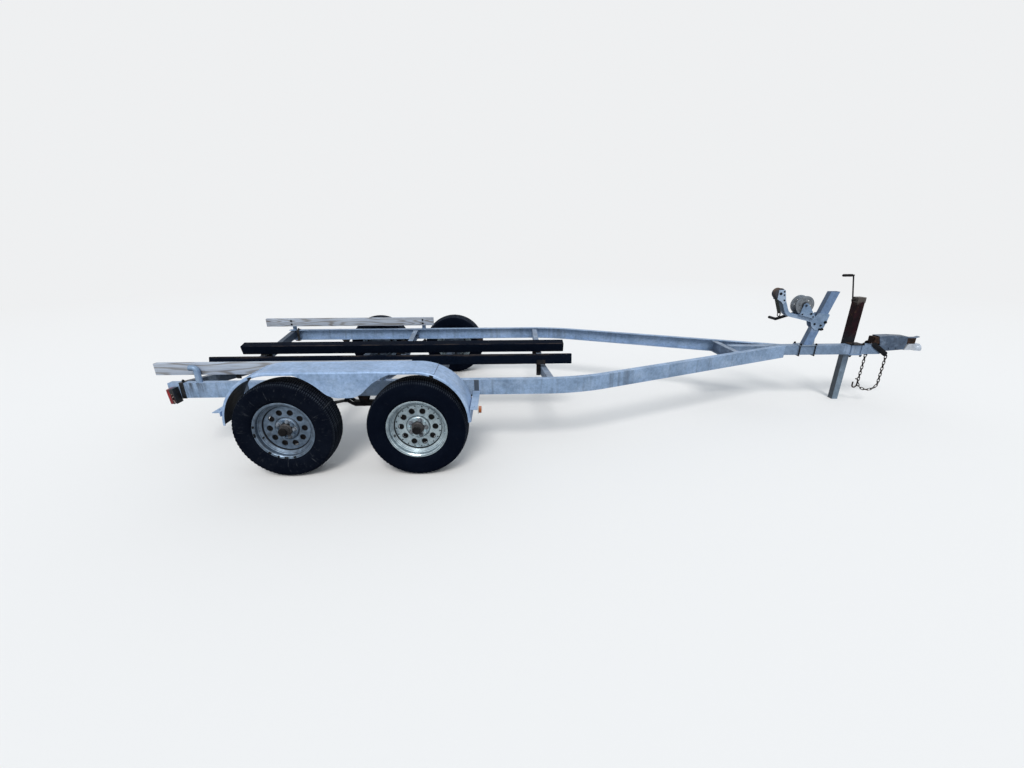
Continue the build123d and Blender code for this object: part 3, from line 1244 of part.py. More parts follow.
def add_front(parts):
    parts["winch_post"] = make_post()
    parts["winch_post_foot"] = post_foot()
    parts["winch_arm"] = make_arm()
    parts["bow_bracket"] = bow_bracket()
    parts["bow_roller"] = bow_roller()
    parts["bow_strap"] = bow_strap()
    parts["winch_frame"] = winch_frame()
    parts["winch_drum"] = winch_drum()
    parts["winch_crank"] = winch_crank()
    parts["jack_tube"] = jack_tube()
    parts["jack_mount"] = jack_mount()
    parts["jack_crank"] = jack_crank()
    parts["jack_leg"] = jack_leg()
    parts["coupler_case"] = coupler_case()
    parts["coupler_slide"] = coupler_slide()
    parts["ball_socket"] = ball_socket()
    parts["coupler_latch"] = coupler_latch()
    parts["safety_chains"] = safety_chains()


def build():
    """Each node's shape, or a list of shapes that don't touch."""
    parts = {}
    add_frame(parts)
    add_running_gear(parts)
    add_bodywork(parts)
    add_front(parts)
    return parts


os.makedirs("parts", exist_ok=True)
for node, shape in build().items():
    pieces = shape if isinstance(shape, list) else [shape]
    moved = [Pos(-ORIGIN_X, 0, 0) * piece for piece in pieces]
    export_step(Compound(children=moved) if len(moved) > 1 else moved[0], f"parts/{node}.step")
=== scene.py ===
from math import atan2, cos, hypot, pi, radians, sin

import bpy
from mathutils import Matrix, Vector


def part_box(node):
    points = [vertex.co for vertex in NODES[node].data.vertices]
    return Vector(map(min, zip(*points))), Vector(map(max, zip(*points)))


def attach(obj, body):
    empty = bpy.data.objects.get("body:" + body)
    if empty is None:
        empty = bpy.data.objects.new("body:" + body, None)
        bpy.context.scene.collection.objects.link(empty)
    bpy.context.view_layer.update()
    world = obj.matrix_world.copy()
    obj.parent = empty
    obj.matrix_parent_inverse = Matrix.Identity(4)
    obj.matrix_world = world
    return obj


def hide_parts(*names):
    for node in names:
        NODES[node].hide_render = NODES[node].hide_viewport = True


# Looks of the boat trailer, in metres. X is given from the middle between the axles, as in the
# drawings, and at() moves it to the shared frame.

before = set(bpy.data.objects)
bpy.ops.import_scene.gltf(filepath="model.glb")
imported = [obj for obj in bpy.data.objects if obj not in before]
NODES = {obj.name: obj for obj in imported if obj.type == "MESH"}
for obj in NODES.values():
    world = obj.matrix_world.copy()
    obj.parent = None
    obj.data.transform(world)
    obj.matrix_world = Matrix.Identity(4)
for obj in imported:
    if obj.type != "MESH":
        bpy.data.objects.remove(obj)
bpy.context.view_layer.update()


def middle(node):
    low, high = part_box(node)
    return (low + high) / 2


FRONT_HUB = middle("tyre_front_right")
REAR_HUB = middle("tyre_rear_right")
AXLE_MIDDLE = (FRONT_HUB.x + REAR_HUB.x) / 2


def at(x, y, z):
    return Vector((x + AXLE_MIDDLE, y, z))


# Sizes that shapes and finishes share

SIDES = (-1, 1)                     # right and left, or rear and front
AXLE_HALF_SPREAD = (FRONT_HUB.x - REAR_HUB.x) / 2
LAMP_HEIGHT = 0.502                 # middle of the tail lamps
HUB_HEIGHT = FRONT_HUB.z
WHEEL_SIDE = -FRONT_HUB.y           # wheel's mid plane from the centre line
TONGUE_LOW, TONGUE_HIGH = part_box("tongue")
RAIL_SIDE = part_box("rail_left")[1].y
TREAD_STEPS = 144
RIB_SPACING = 0.0345
WHEEL_HOLES = 10
HOLE_CIRCLE = 0.117
FENDER_ARC_X = AXLE_HALF_SPREAD + 0.0105
FENDER_ARC_Z = HUB_HEIGHT + 0.061
BUNK_TILT = radians(15)
DRUM_CENTRE = middle("winch_drum")


# Camera and studio

CAMERA_PLACE = (1.0329, -3.8015, 1.5653)
CAMERA_YAW = 0.0214
CAMERA_PITCH = 0.3402
CAMERA_ROLL = 0.0043
PHOTO_WIDTH = 1024                  # pixels
FOCAL_LENGTH = 414.7                # pixels
SENSOR_WIDTH = 36                   # millimetres
BACKGROUND = (0.86, 0.87, 0.88)


def add_camera():
    """The photograph's own viewpoint and field of view."""
    level = cos(CAMERA_PITCH)
    view = Vector((sin(CAMERA_YAW) * level, cos(CAMERA_YAW) * level, -sin(CAMERA_PITCH)))
    right = Vector((cos(CAMERA_YAW), -sin(CAMERA_YAW), 0))
    down = view.cross(right)
    rolled_right = cos(CAMERA_ROLL) * right + sin(CAMERA_ROLL) * down
    rolled_down = cos(CAMERA_ROLL) * down - sin(CAMERA_ROLL) * right
    turn = Matrix((rolled_right, -rolled_down, -view)).transposed()
    data = bpy.data.cameras.new("view_from_the_right")
    data.sensor_width = SENSOR_WIDTH
    data.lens = SENSOR_WIDTH * FOCAL_LENGTH / PHOTO_WIDTH
    camera = bpy.data.objects.new("view_from_the_right", data)
    camera.matrix_world = Matrix.Translation(at(*CAMERA_PLACE)) @ turn.to_4x4()
    bpy.context.scene.collection.objects.link(camera)
    bpy.context.scene.camera = camera


def add_floor():
    deselect()
    bpy.ops.mesh.primitive_circle_add(vertices=64, radius=60, fill_type="NGON", location=(0, 0, 0))
    floor = bpy.context.object
    floor.name = "studio_floor"
    floor.data.materials.append(floor_finish())


def floor_finish():
    """Pale floor that fades into the background, and throws back as little light as gravel."""
    material, tree, shader = new_material("studio_floor")
    seen = put(tree, "ShaderNodeLightPath").outputs["Is Camera Ray"]
    pale = blend(seen, (0.34, 0.34, 0.34), (0.80, 0.80, 0.80))
    fill(shader, Base_Color=pale, Roughness=0.9)
    spot = put(tree, "ShaderNodeTexCoord").outputs["Object"]
    away = put(tree, "ShaderNodeVectorMath", {0: spot}, operation="LENGTH").outputs["Value"]
    fade = spread(away, 5.0, 14.0)
    glow = put(tree, "ShaderNodeEmission", {"Color": BACKGROUND, "Strength": 1.0})
    shown = put(tree, "ShaderNodeMixShader", {0: fade, 1: shader.outputs[0], 2: glow.outputs[0]})
    fill(tree.nodes["Material Output"], Surface=shown.outputs[0])
    return material


def add_light():
    """Even sky that looks like the background where it is seen, and a soft sun."""
    world = bpy.data.worlds.new("studio")
    bpy.context.scene.world = world
    world.use_nodes = True
    tree = world.node_tree
    tree.nodes.clear()
    rays = put(tree, "ShaderNodeLightPath").outputs
    seen = add_up(rays["Is Camera Ray"], rays["Is Glossy Ray"])
    seen = add_up(seen, rays["Is Transmission Ray"])
    lit = put(tree, "ShaderNodeBackground", {"Color": (0.88, 0.94, 1.0), "Strength": 0.72})
    shown = put(tree, "ShaderNodeBackground", {"Color": BACKGROUND, "Strength": 1.0})
    sky = put(tree, "ShaderNodeMixShader", {0: seen, 1: lit.outputs[0], 2: shown.outputs[0]})
    output = put(tree, "ShaderNodeOutputWorld", {"Surface": sky.outputs[0]})
    output.is_active_output = True
    sun = bpy.data.lights.new("soft_key", "SUN")
    sun.energy = 1.9
    sun.angle = radians(22)
    sun.color = (1.0, 0.97, 0.93)
    key = bpy.data.objects.new("soft_key", sun)
    key.rotation_euler = (radians(38), radians(14), radians(-20))
    bpy.context.scene.collection.objects.link(key)


# Node helpers


def is_output(value):
    return isinstance(value, bpy.types.NodeSocket)


def feed(socket, value):
    """Link another node's output to an input, or set it; a colour is red, green and blue."""
    if is_output(value):
        socket.id_data.links.new(value, socket)
    elif socket.type == "RGBA":
        socket.default_value = (*value, 1)
    else:
        socket.default_value = value


def put(tree, kind, inputs=None, **settings):
    """Add a node with its settings, and feed its inputs by number or name."""
    node = tree.nodes.new(kind)
    for key, value in settings.items():
        setattr(node, key, value)
    for key, value in (inputs or {}).items():
        feed(node.inputs[key], value)
    return node


def fill(node, **values):
    """Feed a node's inputs by name; spaces in a name are written as underscores."""
    for key, value in values.items():
        feed(node.inputs[key.replace("_", " ")], value)


def new_material(name):
    material = bpy.data.materials.new(name)
    material.use_nodes = True
    tree = material.node_tree
    tree.nodes.clear()
    shader = put(tree, "ShaderNodeBsdfPrincipled")
    put(tree, "ShaderNodeOutputMaterial", {"Surface": shader.outputs[0]})
    return material, tree, shader


def calc(operation, first, second=0.0):
    """Work out one value from two, at least one of which is another node's output."""
    tree = next(value.id_data for value in (first, second) if is_output(value))
    return put(tree, "ShaderNodeMath", {0: first, 1: second}, operation=operation).outputs[0]


def add_up(first, second):
    return calc("ADD", first, second)


def minus(first, second):
    return calc("SUBTRACT", first, second)


def times(first, second):
    return calc("MULTIPLY", first, second)


def larger(first, second):
    return calc("MAXIMUM", first, second)


def length(first, second):
    """Straight distance, from its parts along two axes."""
    squares = add_up(times(first, first), times(second, second))
    return calc("POWER", squares, 0.5)


def spread(value, low, high, out_low=0.0, out_high=1.0):
    """Stretch low to high over 0 to 1, or over the range given, and stop at its ends."""
    limits = {0: value, 1: low, 2: high, 3: out_low, 4: out_high}
    return put(value.id_data, "ShaderNodeMapRange", limits).outputs[0]


def blend(share, first, second):
    """Mix two colours; each is a colour or another node's output."""
    inputs = {0: share, 6: first, 7: second}
    return put(share.id_data, "ShaderNodeMix", inputs, data_type="RGBA").outputs[2]


def spots(tree, scale=(1, 1, 1)):
    """Object coordinates, stretched."""
    where = put(tree, "ShaderNodeTexCoord").outputs["Object"]
    return put(tree, "ShaderNodeMapping", {"Vector": where, "Scale": scale}).outputs[0]


def axis(tree, letter, kind="Object"):
    """One coordinate of the place on a piece, or of the way that its surface faces."""
    whole = put(tree, "ShaderNodeTexCoord").outputs[kind]
    return put(tree, "ShaderNodeSeparateXYZ", {0: whole}).outputs[letter]


def ahead(tree):
    """How far a place is ahead of the middle between the axles."""
    return minus(axis(tree, "X"), AXLE_MIDDLE)


def aside(tree):
    """How far a place is from the centre line."""
    return calc("ABSOLUTE", axis(tree, "Y"))


def cloud(where, scale, detail=4.0, rough=0.55):
    values = {"Vector": where, "Scale": scale, "Detail": detail, "Roughness": rough}
    return put(where.id_data, "ShaderNodeTexNoise", values).outputs["Fac"]


def patches(where, scale, low, high, detail=4.0, rough=0.55, faint=0.0, full=1.0):
    """Cloudy patches: faint where the noise is under low, full where it is over high."""
    return spread(cloud(where, scale, detail, rough), low, high, faint, full)


def bump(shader, height, strength, distance):
    values = {"Height": height, "Strength": strength, "Distance": distance}
    fill(shader, Normal=put(shader.id_data, "ShaderNodeBump", values).outputs[0])


# Effects shared by several finishes

GREY = (0.3, 0.3, 0.3)


def new_group(name, inputs, outputs):
    """Start a group; an input is a colour or a number by its value, an output by its name."""
    tree = bpy.data.node_groups.new(name, "ShaderNodeTree")
    for label, value in inputs.items():
        is_colour = isinstance(value, tuple)
        kind = "NodeSocketColor" if is_colour else "NodeSocketFloat"
        socket = tree.interface.new_socket(label, in_out="INPUT", socket_type=kind)
        socket.default_value = (*value, 1) if is_colour else value
    for label in outputs:
        kind = "NodeSocketColor" if label == "Color" else "NodeSocketFloat"
        tree.interface.new_socket(label, in_out="OUTPUT", socket_type=kind)
    return tree, tree.nodes.new("NodeGroupInput").outputs, tree.nodes.new("NodeGroupOutput")


def use(tree, group, **values):
    """Place a group with its values, and give its outputs."""
    node = tree.nodes.new("ShaderNodeGroup")
    node.node_tree = bpy.data.node_groups[group]
    fill(node, **values)
    return node.outputs


def zinc_flakes_group():
    """Large crystals of hot-dip zinc, with a mottled bloom over them."""
    tree, given, out = new_group("zinc_flakes", {"Size": 60.0}, ("Flakes", "Bloom"))
    where = spots(tree)
    cells = put(tree, "ShaderNodeTexVoronoi", {"Vector": where, "Scale": given["Size"]})
    split = put(tree, "ShaderNodeSeparateColor", {0: cells.outputs["Color"]})
    broad = times(cloud(where, 6.0), 0.55)
    fine = times(cloud(where, 38.0), 0.45)
    bloom = spread(add_up(broad, fine), 0.38, 0.62)
    fill(out, Flakes=split.outputs[0], Bloom=bloom)


def water_runs_group():
    """Marks that water leaves down an upright face."""
    tree, given, out = new_group("water_runs", {"Cover": 0.5}, ("Mask",))
    fine = cloud(spots(tree, (1, 1, 0.045)), 28.0, 3.0)
    broad = cloud(spots(tree, (1, 1, 0.12)), 7.0, 2.0)
    edge = minus(1.12, times(given["Cover"], 0.35))
    marks = minus(add_up(fine, times(broad, 0.6)), edge)
    fill(out, Mask=spread(marks, -0.06, 0.26))


def dust_group():
    """Dirt that lies on upward faces and in patches elsewhere."""
    tree, given, out = new_group("dust", {"Top": 0.5, "Sides": 0.2}, ("Mask",))
    up = spread(axis(tree, "Z", "Normal"), 0.3, 0.9)
    uneven = patches(spots(tree), 9.0, 0.38, 0.68, 6.0, 0.65)
    top = times(times(up, given["Top"]), add_up(uneven, 0.35))
    low = times(uneven, given["Sides"])
    total = put(tree, "ShaderNodeMath", {0: top, 1: low}, operation="ADD", use_clamp=True)
    fill(out, Mask=total.outputs[0])


def rust_group():
    """Rust patches with their own brown variation and a coarse grain."""
    tree, given, out = new_group("rust", {"Cover": 0.4, "Size": 12.0}, ("Mask", "Color", "Grain"))
    where = spots(tree)
    base = cloud(where, given["Size"], 8.0, 0.65)
    edge = times(minus(1.0, given["Cover"]), 0.9)
    shade = patches(where, 45.0, 0.35, 0.65, 6.0)
    brown = blend(shade, (0.016, 0.010, 0.008), (0.066, 0.035, 0.024))
    fill(out, Mask=spread(minus(base, edge), -0.06, 0.06), Color=brown,
         Grain=cloud(where, 210.0, 3.0))


def weathered_zinc_group():
    """Old galvanising: flakes, white bloom, dark specks, water runs, painted shade below, and dust."""
    tree, given, out = new_group("weathered_zinc", {
        "Light": GREY, "Dark": GREY, "Flake Size": 70.0, "Runs": 0.3, "Top Dust": 0.1,
        "Side Dust": 0.05}, ("Color", "Roughness", "Height"))
    zinc = use(tree, "zinc_flakes", Size=given["Flake Size"])
    colour = blend(zinc["Bloom"], given["Dark"], given["Light"])
    colour = blend(times(zinc["Flakes"], 0.4), colour, given["Light"])
    white = patches(spots(tree, (0.6, 1, 1)), 4.5, 0.50, 0.66, 5.0, 0.6)
    colour = blend(times(white, 0.45), colour, (0.50, 0.63, 0.82))
    specks = patches(spots(tree), 85.0, 0.50, 0.66, 4.0, 0.75)
    colour = blend(times(specks, 0.5), colour, given["Dark"])
    cover = add_up(times(given["Runs"], 0.5), 0.35)
    marks = times(use(tree, "water_runs", Cover=cover)["Mask"], times(given["Runs"], 1.3))
    colour = blend(marks, colour, (0.070, 0.085, 0.105))
    # Painted shade: faces that turn down are darkened.
    down = spread(axis(tree, "Z", "Normal"), 0.0, -0.35)
    colour = blend(times(down, 0.35), colour, (0.050, 0.050, 0.052))
    dust = use(tree, "dust", Top=given["Top Dust"], Sides=given["Side Dust"])["Mask"]
    colour = blend(dust, colour, (0.13, 0.135, 0.14))
    shine = spread(zinc["Flakes"], 0, 1, 0.40, 0.56)
    fill(out, Color=colour, Roughness=add_up(shine, times(dust, 0.3)),
         Height=add_up(zinc["Bloom"], times(zinc["Flakes"], 0.25)))


def wheel_place_group():
    """Distance from the nearer axle and turn about it, as seen from the side."""
    tree, _, out = new_group("wheel_place", {}, ("Distance", "Turn"))
    x = ahead(tree)
    along = minus(x, times(calc("SIGN", x), AXLE_HALF_SPREAD))
    up = minus(axis(tree, "Z"), HUB_HEIGHT)
    fill(out, Distance=length(along, up), Turn=calc("ARCTAN2", up, along))


# Metal finishes


def galvanised(name, light, dark, runs, top_dust, side_dust=0.05, flake=70.0, rusty=0.0):
    """Old hot-dip zinc, with rust where asked."""
    material, tree, shader = new_material(name)
    zinc = use(tree, "weathered_zinc", Light=light, Dark=dark, Flake_Size=flake, Runs=runs,
               Top_Dust=top_dust, Side_Dust=side_dust)
    colour = zinc["Color"]
    if rusty:
        rust = use(tree, "rust", Cover=rusty)
        colour = blend(rust["Mask"], colour, rust["Color"])
    fill(shader, Base_Color=colour, Roughness=zinc["Roughness"], Metallic=0.3,
         Specular_IOR_Level=0.3)
    bump(shader, zinc["Height"], 0.25, 0.002)
    return material


def dark_steel(name, light, dark, cover, shine=0.62, metal=0.35):
    """Unpainted or once painted steel, brown-black with rust."""
    material, tree, shader = new_material(name)
    colour = blend(patches(spots(tree), 16.0, 0.35, 0.65, 6.0), dark, light)
    rust = use(tree, "rust", Cover=cover, Size=18.0)
    colour = blend(rust["Mask"], colour, rust["Color"])
    dust = use(tree, "dust", Top=0.2, Sides=0.08)["Mask"]
    fill(shader, Base_Color=blend(dust, colour, (0.075, 0.065, 0.058)),
         Roughness=spread(rust["Mask"], 0, 1, shine, 0.88), Metallic=metal,
         Specular_IOR_Level=0.1)
    bump(shader, rust["Grain"], 0.4, 0.0015)
    return material


def wheel_finish(name, light, dark, cover, shine):
    """Zinc wheel with grit, and painted shade in its barrel, its corners and round its holes."""
    material, tree, shader = new_material(name)
    zinc = use(tree, "zinc_flakes", Size=110.0)
    colour = blend(zinc["Bloom"], dark, light)
    rust = use(tree, "rust", Cover=cover, Size=22.0)
    colour = blend(rust["Mask"], colour, rust["Color"])
    grit = patches(spots(tree), 26.0, 0.52, 0.7, 6.0, 0.7)
    colour = blend(times(grit, 0.5), colour, (0.085, 0.085, 0.085))
    place = use(tree, "wheel_place")
    # Painted shade: rings in the barrel, the disc's corners and round the holes.
    colour = blend(barrel_ring_shade(place), colour, (0.075, 0.085, 0.095))
    colour = blend(disc_corner_shade(place), colour, (0.030, 0.030, 0.032))
    colour = blend(hole_rim_shade(tree, place), colour, (0.012, 0.012, 0.014))
    fill(shader, Base_Color=colour, Metallic=0.7,
         Roughness=spread(zinc["Bloom"], 0, 1, shine + 0.12, shine))
    bump(shader, zinc["Bloom"], 0.2, 0.001)
    return material


def barrel_ring_shade(place):
    """Fine dark rings in the barrel: painted shade of its ridges."""
    far = place["Distance"]
    waves = calc("SINE", times(far, 2 * pi / 0.0085))
    barrel = times(spread(far, 0.166, 0.170), spread(far, 0.206, 0.203))
    return times(times(spread(waves, 0.1, 0.9), barrel), 0.55)


def disc_corner_shade(place):
    """Painted shade in the corners where the disc meets the barrel and the hat meets the disc."""
    lines = []
    for radius, half in ((0.163, 0.0045), (0.0805, 0.0035)):
        off = calc("ABSOLUTE", minus(place["Distance"], radius))
        lines.append(spread(off, half, 0.001))
    return times(larger(*lines), 0.8)


def hole_rim_shade(tree, place):
    """Ragged dark ring of painted shade round each hole of the wheel, which makes the holes look wider."""
    step = 2 * pi / WHEEL_HOLES
    turn = calc("FLOORED_MODULO", add_up(place["Turn"], step / 2), step)
    turn = minus(turn, step / 2)
    far = place["Distance"]
    along = minus(times(far, calc("COSINE", turn)), HOLE_CIRCLE)
    across = times(far, calc("SINE", turn))
    uneven = times(minus(cloud(spots(tree), 60.0, 3.0), 0.5), 0.006)
    ragged = add_up(length(along, across), uneven)
    return times(spread(ragged, 0.0230, 0.0200), 0.9)


def jack_paint():
    """Maroon paint, rubbed to bare dark steel low down and to brown at the collar."""
    material, tree, shader = new_material("jack_paint")
    where = spots(tree)
    uneven = times(minus(cloud(where, 30.0, 6.0), 0.5), 0.16)
    level = add_up(axis(tree, "Z"), uneven)
    colour = blend(patches(where, 24.0, 0.3, 0.7), (0.006, 0.003, 0.005), (0.022, 0.005, 0.009))
    rust = use(tree, "rust", Cover=0.33, Size=26.0)
    colour = blend(rust["Mask"], colour, rust["Color"])
    colour = blend(spread(level, 0.70, 0.62), colour, (0.016, 0.018, 0.023))
    colour = blend(spread(level, 0.955, 0.985), colour, (0.085, 0.075, 0.070))
    fill(shader, Base_Color=colour, Roughness=spread(rust["Mask"], 0, 1, 0.5, 0.85),
         Metallic=0.15, Specular_IOR_Level=0.1)
    bump(shader, rust["Grain"], 0.4, 0.0015)
    return material


# Rubber, plastic, cloth and wood


def rubber(name, colour, worn, scuffed=0.25, smeared=0.0):
    """Old rubber: near black, scuffed in patches, its tread greyer, with smears where asked."""
    material, tree, shader = new_material(name)
    where = spots(tree)
    place = use(tree, "wheel_place")
    shade = blend(patches(where, 7.0, 0.35, 0.7, 6.0), colour, worn)
    scuffs = patches(where, 60.0, 0.58, 0.78, 4.0, 0.7)
    shade = blend(times(scuffs, scuffed), shade, (0.055, 0.062, 0.075))
    shade = blend(tread_blocks(tree, place), shade, (0.040, 0.050, 0.068))
    if smeared:
        shade = blend(times(wall_smears(tree, place), smeared), shade, (0.10, 0.11, 0.125))
    fill(shader, Base_Color=shade, Roughness=spread(scuffs, 0, 1, 0.72, 0.9),
         Specular_IOR_Level=0.03)
    bump(shader, cloud(where, 320.0, 2.0), 0.3, 0.0008)
    return material


def tread_blocks(tree, place):
    """Tops of the tread's blocks, in uneven patches."""
    beside = calc("ABSOLUTE", minus(aside(tree), WHEEL_SIDE))
    slant = times(beside, 60.0)
    lugs = calc("SINE", add_up(times(place["Turn"], TREAD_STEPS), slant))
    rows = calc("COSINE", times(beside, 2 * pi / RIB_SPACING))
    blocks = times(spread(lugs, -0.35, 0.15), spread(rows, 0.85, 0.55))
    uneven = patches(spots(tree), 14.0, 0.35, 0.6, 5.0, faint=0.45)
    top = times(spread(place["Distance"], 0.326, 0.3335), uneven)
    return times(top, blocks)


def wall_smears(tree, place):
    """Dried smears, drawn out from the wheel towards the tread."""
    where = put(tree, "ShaderNodeCombineXYZ", {
        0: times(place["Turn"], 16.0), 1: times(place["Distance"], 9.0)}).outputs[0]
    return patches(where, 1.0, 0.60, 0.72, 4.0, 0.7)


def carpet():
    """Black marine carpet: short pile, faded along its upper edges, with grit."""
    material, tree, shader = new_material("bunk_carpet")
    pile = cloud(spots(tree), 420.0, 3.0, 0.7)
    tufts = cloud(spots(tree, (0.4, 1, 1)), 120.0, 4.0, 0.7)
    colour = blend(spread(tufts, 0.35, 0.7), (0.0012, 0.0030, 0.0085), (0.004, 0.008, 0.018))
    worn = patches(spots(tree, (0.5, 1, 1)), 9.0, 0.42, 0.60, 5.0, 0.7)
    worn = times(carpet_edges(tree), times(worn, 0.6))
    colour = blend(worn, colour, (0.11, 0.088, 0.075))
    grit = use(tree, "dust", Top=0.06, Sides=0.02)["Mask"]
    colour = blend(grit, colour, (0.08, 0.075, 0.07))
    fill(shader, Base_Color=colour, Roughness=0.95, Specular_IOR_Level=0.03)
    bump(shader, add_up(pile, tufts), 0.7, 0.004)
    return material


def carpet_edges(tree):
    """Rounded edges of the tilted bunks, where they face up."""
    normal = put(tree, "ShaderNodeTexCoord").outputs["Normal"]
    normal = put(tree, "ShaderNodeVectorMath", {0: normal}, operation="ABSOLUTE").outputs[0]
    edges = []
    for turn in (radians(45) - BUNK_TILT, radians(45) + BUNK_TILT):
        way = (0, sin(turn), cos(turn))
        along = put(tree, "ShaderNodeVectorMath", {0: normal, 1: way}, operation="DOT_PRODUCT")
        edges.append(spread(along.outputs["Value"], 0.985, 0.998))
    up = spread(axis(tree, "Z", "Normal"), 0.0, 0.2)
    return times(larger(*edges), up)


def timber():
    """Old bare softwood, silver-grey, with flame figure, fine fibres and knots."""
    material, tree, shader = new_material("weathered_timber")
    hills = cloud(spots(tree, (1.0, 7, 9)), 1.0, 1.5, 0.4)
    lines = spread(calc("SINE", times(hills, 96.0)), -0.95, 0.1)
    fibres = cloud(spots(tree, (4, 190, 190)), 1.0, 5.0, 0.7)
    colour = blend(lines, (0.195, 0.195, 0.205), (0.385, 0.445, 0.545))
    grain = times(spread(fibres, 0.48, 0.68), 0.5)
    colour = blend(grain, colour, (0.13, 0.105, 0.09))
    knots = times(spread(hills, 0.66, 0.74), 0.75)
    colour = blend(knots, colour, (0.085, 0.055, 0.042))
    silver = times(patches(spots(tree), 4.0, 0.4, 0.7), 0.3)
    colour = blend(silver, colour, (0.55, 0.60, 0.66))
    fill(shader, Base_Color=colour, Roughness=0.88)
    bump(shader, add_up(times(lines, 0.6), fibres), 0.5, 0.003)
    return material


def lamp(name, light, dark, body, edge, glass_side, lean=0.0):
    """Dusty ribbed lens on one side of an edge across X, and the lamp's body on the other.

    The right lamp's edge leans by the slope given."""
    material, tree, shader = new_material(name)
    where = spots(tree)
    dirt = patches(where, 30.0, 0.4, 0.75, 6.0)
    on_right = spread(axis(tree, "Y"), 0.0, -0.001)
    tilt = times(times(on_right, lean), minus(axis(tree, "Z"), LAMP_HEIGHT))
    along = add_up(minus(axis(tree, "X"), AXLE_MIDDLE + edge), tilt)
    glass = calc(glass_side, along)
    soiled = blend(times(dirt, 0.5), body, (0.055, 0.062, 0.075))
    fill(shader, Base_Color=blend(glass, soiled, blend(dirt, light, dark)),
         Roughness=spread(dirt, 0, 1, 0.28, 0.6), Coat_Weight=times(glass, 0.3))
    ribs = put(tree, "ShaderNodeTexWave", {"Vector": where, "Scale": 60.0}, bands_direction="Z")
    bump(shader, times(glass, ribs.outputs["Fac"]), 0.25, 0.001)
    return material


def plastic(name, light, dark, shine):
    """Plastic with faint patches and some dust."""
    material, tree, shader = new_material(name)
    where = spots(tree)
    colour = blend(patches(where, 22.0, 0.35, 0.7, 6.0), dark, light)
    dust = use(tree, "dust", Top=0.2, Sides=0.06)["Mask"]
    fill(shader, Base_Color=blend(dust, colour, (0.075, 0.068, 0.062)),
         Roughness=spread(dust, 0, 1, shine, 0.85), Specular_IOR_Level=0.12)
    bump(shader, cloud(where, 260.0, 2.0), 0.15, 0.0008)
    return material


def webbing():
    """Flat woven strap, dark green-black."""
    material, tree, shader = new_material("strap_webbing")
    threads = []
    for direction, scale in (("Z", 240.0), ("Y", 200.0)):
        values = {"Vector": spots(tree), "Scale": scale, "Distortion": 0.6}
        threads.append(put(tree, "ShaderNodeTexWave", values, bands_direction=direction).outputs["Fac"])
    weave = times(*threads)
    colour = blend(weave, (0.010, 0.013, 0.010), (0.050, 0.060, 0.048))
    fill(shader, Base_Color=colour, Roughness=0.85)
    bump(shader, weave, 0.6, 0.002)
    return material


# Marks and painted shade that lie over a finish


def fender_painted_shade(tree):
    """Painted shade, in patches, on faces that turn towards the wheels and on faces that turn to the left.
    """
    x = ahead(tree)
    reach = {"Value": x, "Min": -FENDER_ARC_X, "Max": FENDER_ARC_X}
    nearest = put(tree, "ShaderNodeClamp", reach).outputs[0]
    across = times(minus(x, nearest), axis(tree, "X", "Normal"))
    upward = times(minus(axis(tree, "Z"), FENDER_ARC_Z), axis(tree, "Z", "Normal"))
    inward = spread(add_up(across, upward), 0.0, -0.03)
    behind = spread(axis(tree, "Y", "Normal"), 0.5, 0.8)
    uneven = patches(spots(tree), 6.0, 0.25, 0.6, 5.0, faint=0.75, full=0.97)
    return times(larger(inward, behind), uneven)


def drum_painted_shade(tree):
    """Painted shade on the middle of the winch drum and on all that lies between its flanges."""
    far = length(minus(axis(tree, "X"), DRUM_CENTRE.x), minus(axis(tree, "Z"), DRUM_CENTRE.z))
    deep = spread(aside(tree), 0.0345, 0.0335)
    return times(larger(spread(far, 0.034, 0.028), deep), 0.85)


def lamp_stains(tree):
    """Dark drips on the rail in front of the right tail lamp."""
    x = ahead(tree)
    window = times(spread(x, -1.285, -1.262), spread(x, -1.105, -1.145))
    right = calc("LESS_THAN", axis(tree, "Y"), 0.001 - RAIL_SIDE)
    drips = patches(spots(tree, (1, 1, 0.12)), 30.0, 0.44, 0.56, 3.0)
    fading = spread(axis(tree, "Z"), 0.47, 0.57, 0.25, 1.0)
    return times(times(window, right), times(times(drips, fading), 0.8))


def below(height):
    return lambda tree: spread(axis(tree, "Z"), height, height - 0.001)


def near_middle(half):
    """Where a piece lies nearer the centre line than half."""
    return lambda tree: calc("LESS_THAN", aside(tree), half)


# Painted shade on faces that turn to the back.
def back_face_shade(share):
    return lambda tree: times(spread(axis(tree, "X", "Normal"), -0.4, -0.9), share)


def outboard(reach):
    """Where a piece lies farther from the centre line than reach, worn in patches."""
    def mask(tree):
        far = spread(aside(tree), reach, reach + 0.002)
        return times(far, patches(spots(tree), 40.0, 0.3, 0.6, faint=0.4))
    return mask


MARKS_AND_SHADE = {
    "foot": (below(TONGUE_HIGH.z - 0.0002), (0.020, 0.022, 0.027)),
    "mount": (below(TONGUE_HIGH.z + 0.001), (0.23, 0.32, 0.46)),
    "bracket": (near_middle(RAIL_SIDE + 0.0062), (0.075, 0.095, 0.125)),
    # painted shade on the back faces of the winch post and the jack leg
    "post": (back_face_shade(0.6), (0.040, 0.050, 0.068)),
    "leg": (back_face_shade(0.7), (0.050, 0.046, 0.044)),
    # painted shade in the winch drum
    "drum": (drum_painted_shade, (0.020, 0.023, 0.029)),
    "rail": (lamp_stains, (0.034, 0.036, 0.040)),
    # painted shade inside the fenders
    "fender": (fender_painted_shade, (0.034, 0.031, 0.030)),
    "hub": (outboard(WHEEL_SIDE + 0.032), (0.075, 0.073, 0.076)),
}


def add_marks_and_shade(finish, mask, colour):
    """Mix a colour over a finish where the mask says."""
    tree = FINISHES[finish].node_tree
    shader = next(node for node in tree.nodes if node.type == "BSDF_PRINCIPLED")
    under = shader.inputs["Base Color"].links[0].from_socket
    fill(shader, Base_Color=blend(mask(tree), under, colour))


# Finishes by name

FINISHES = {}

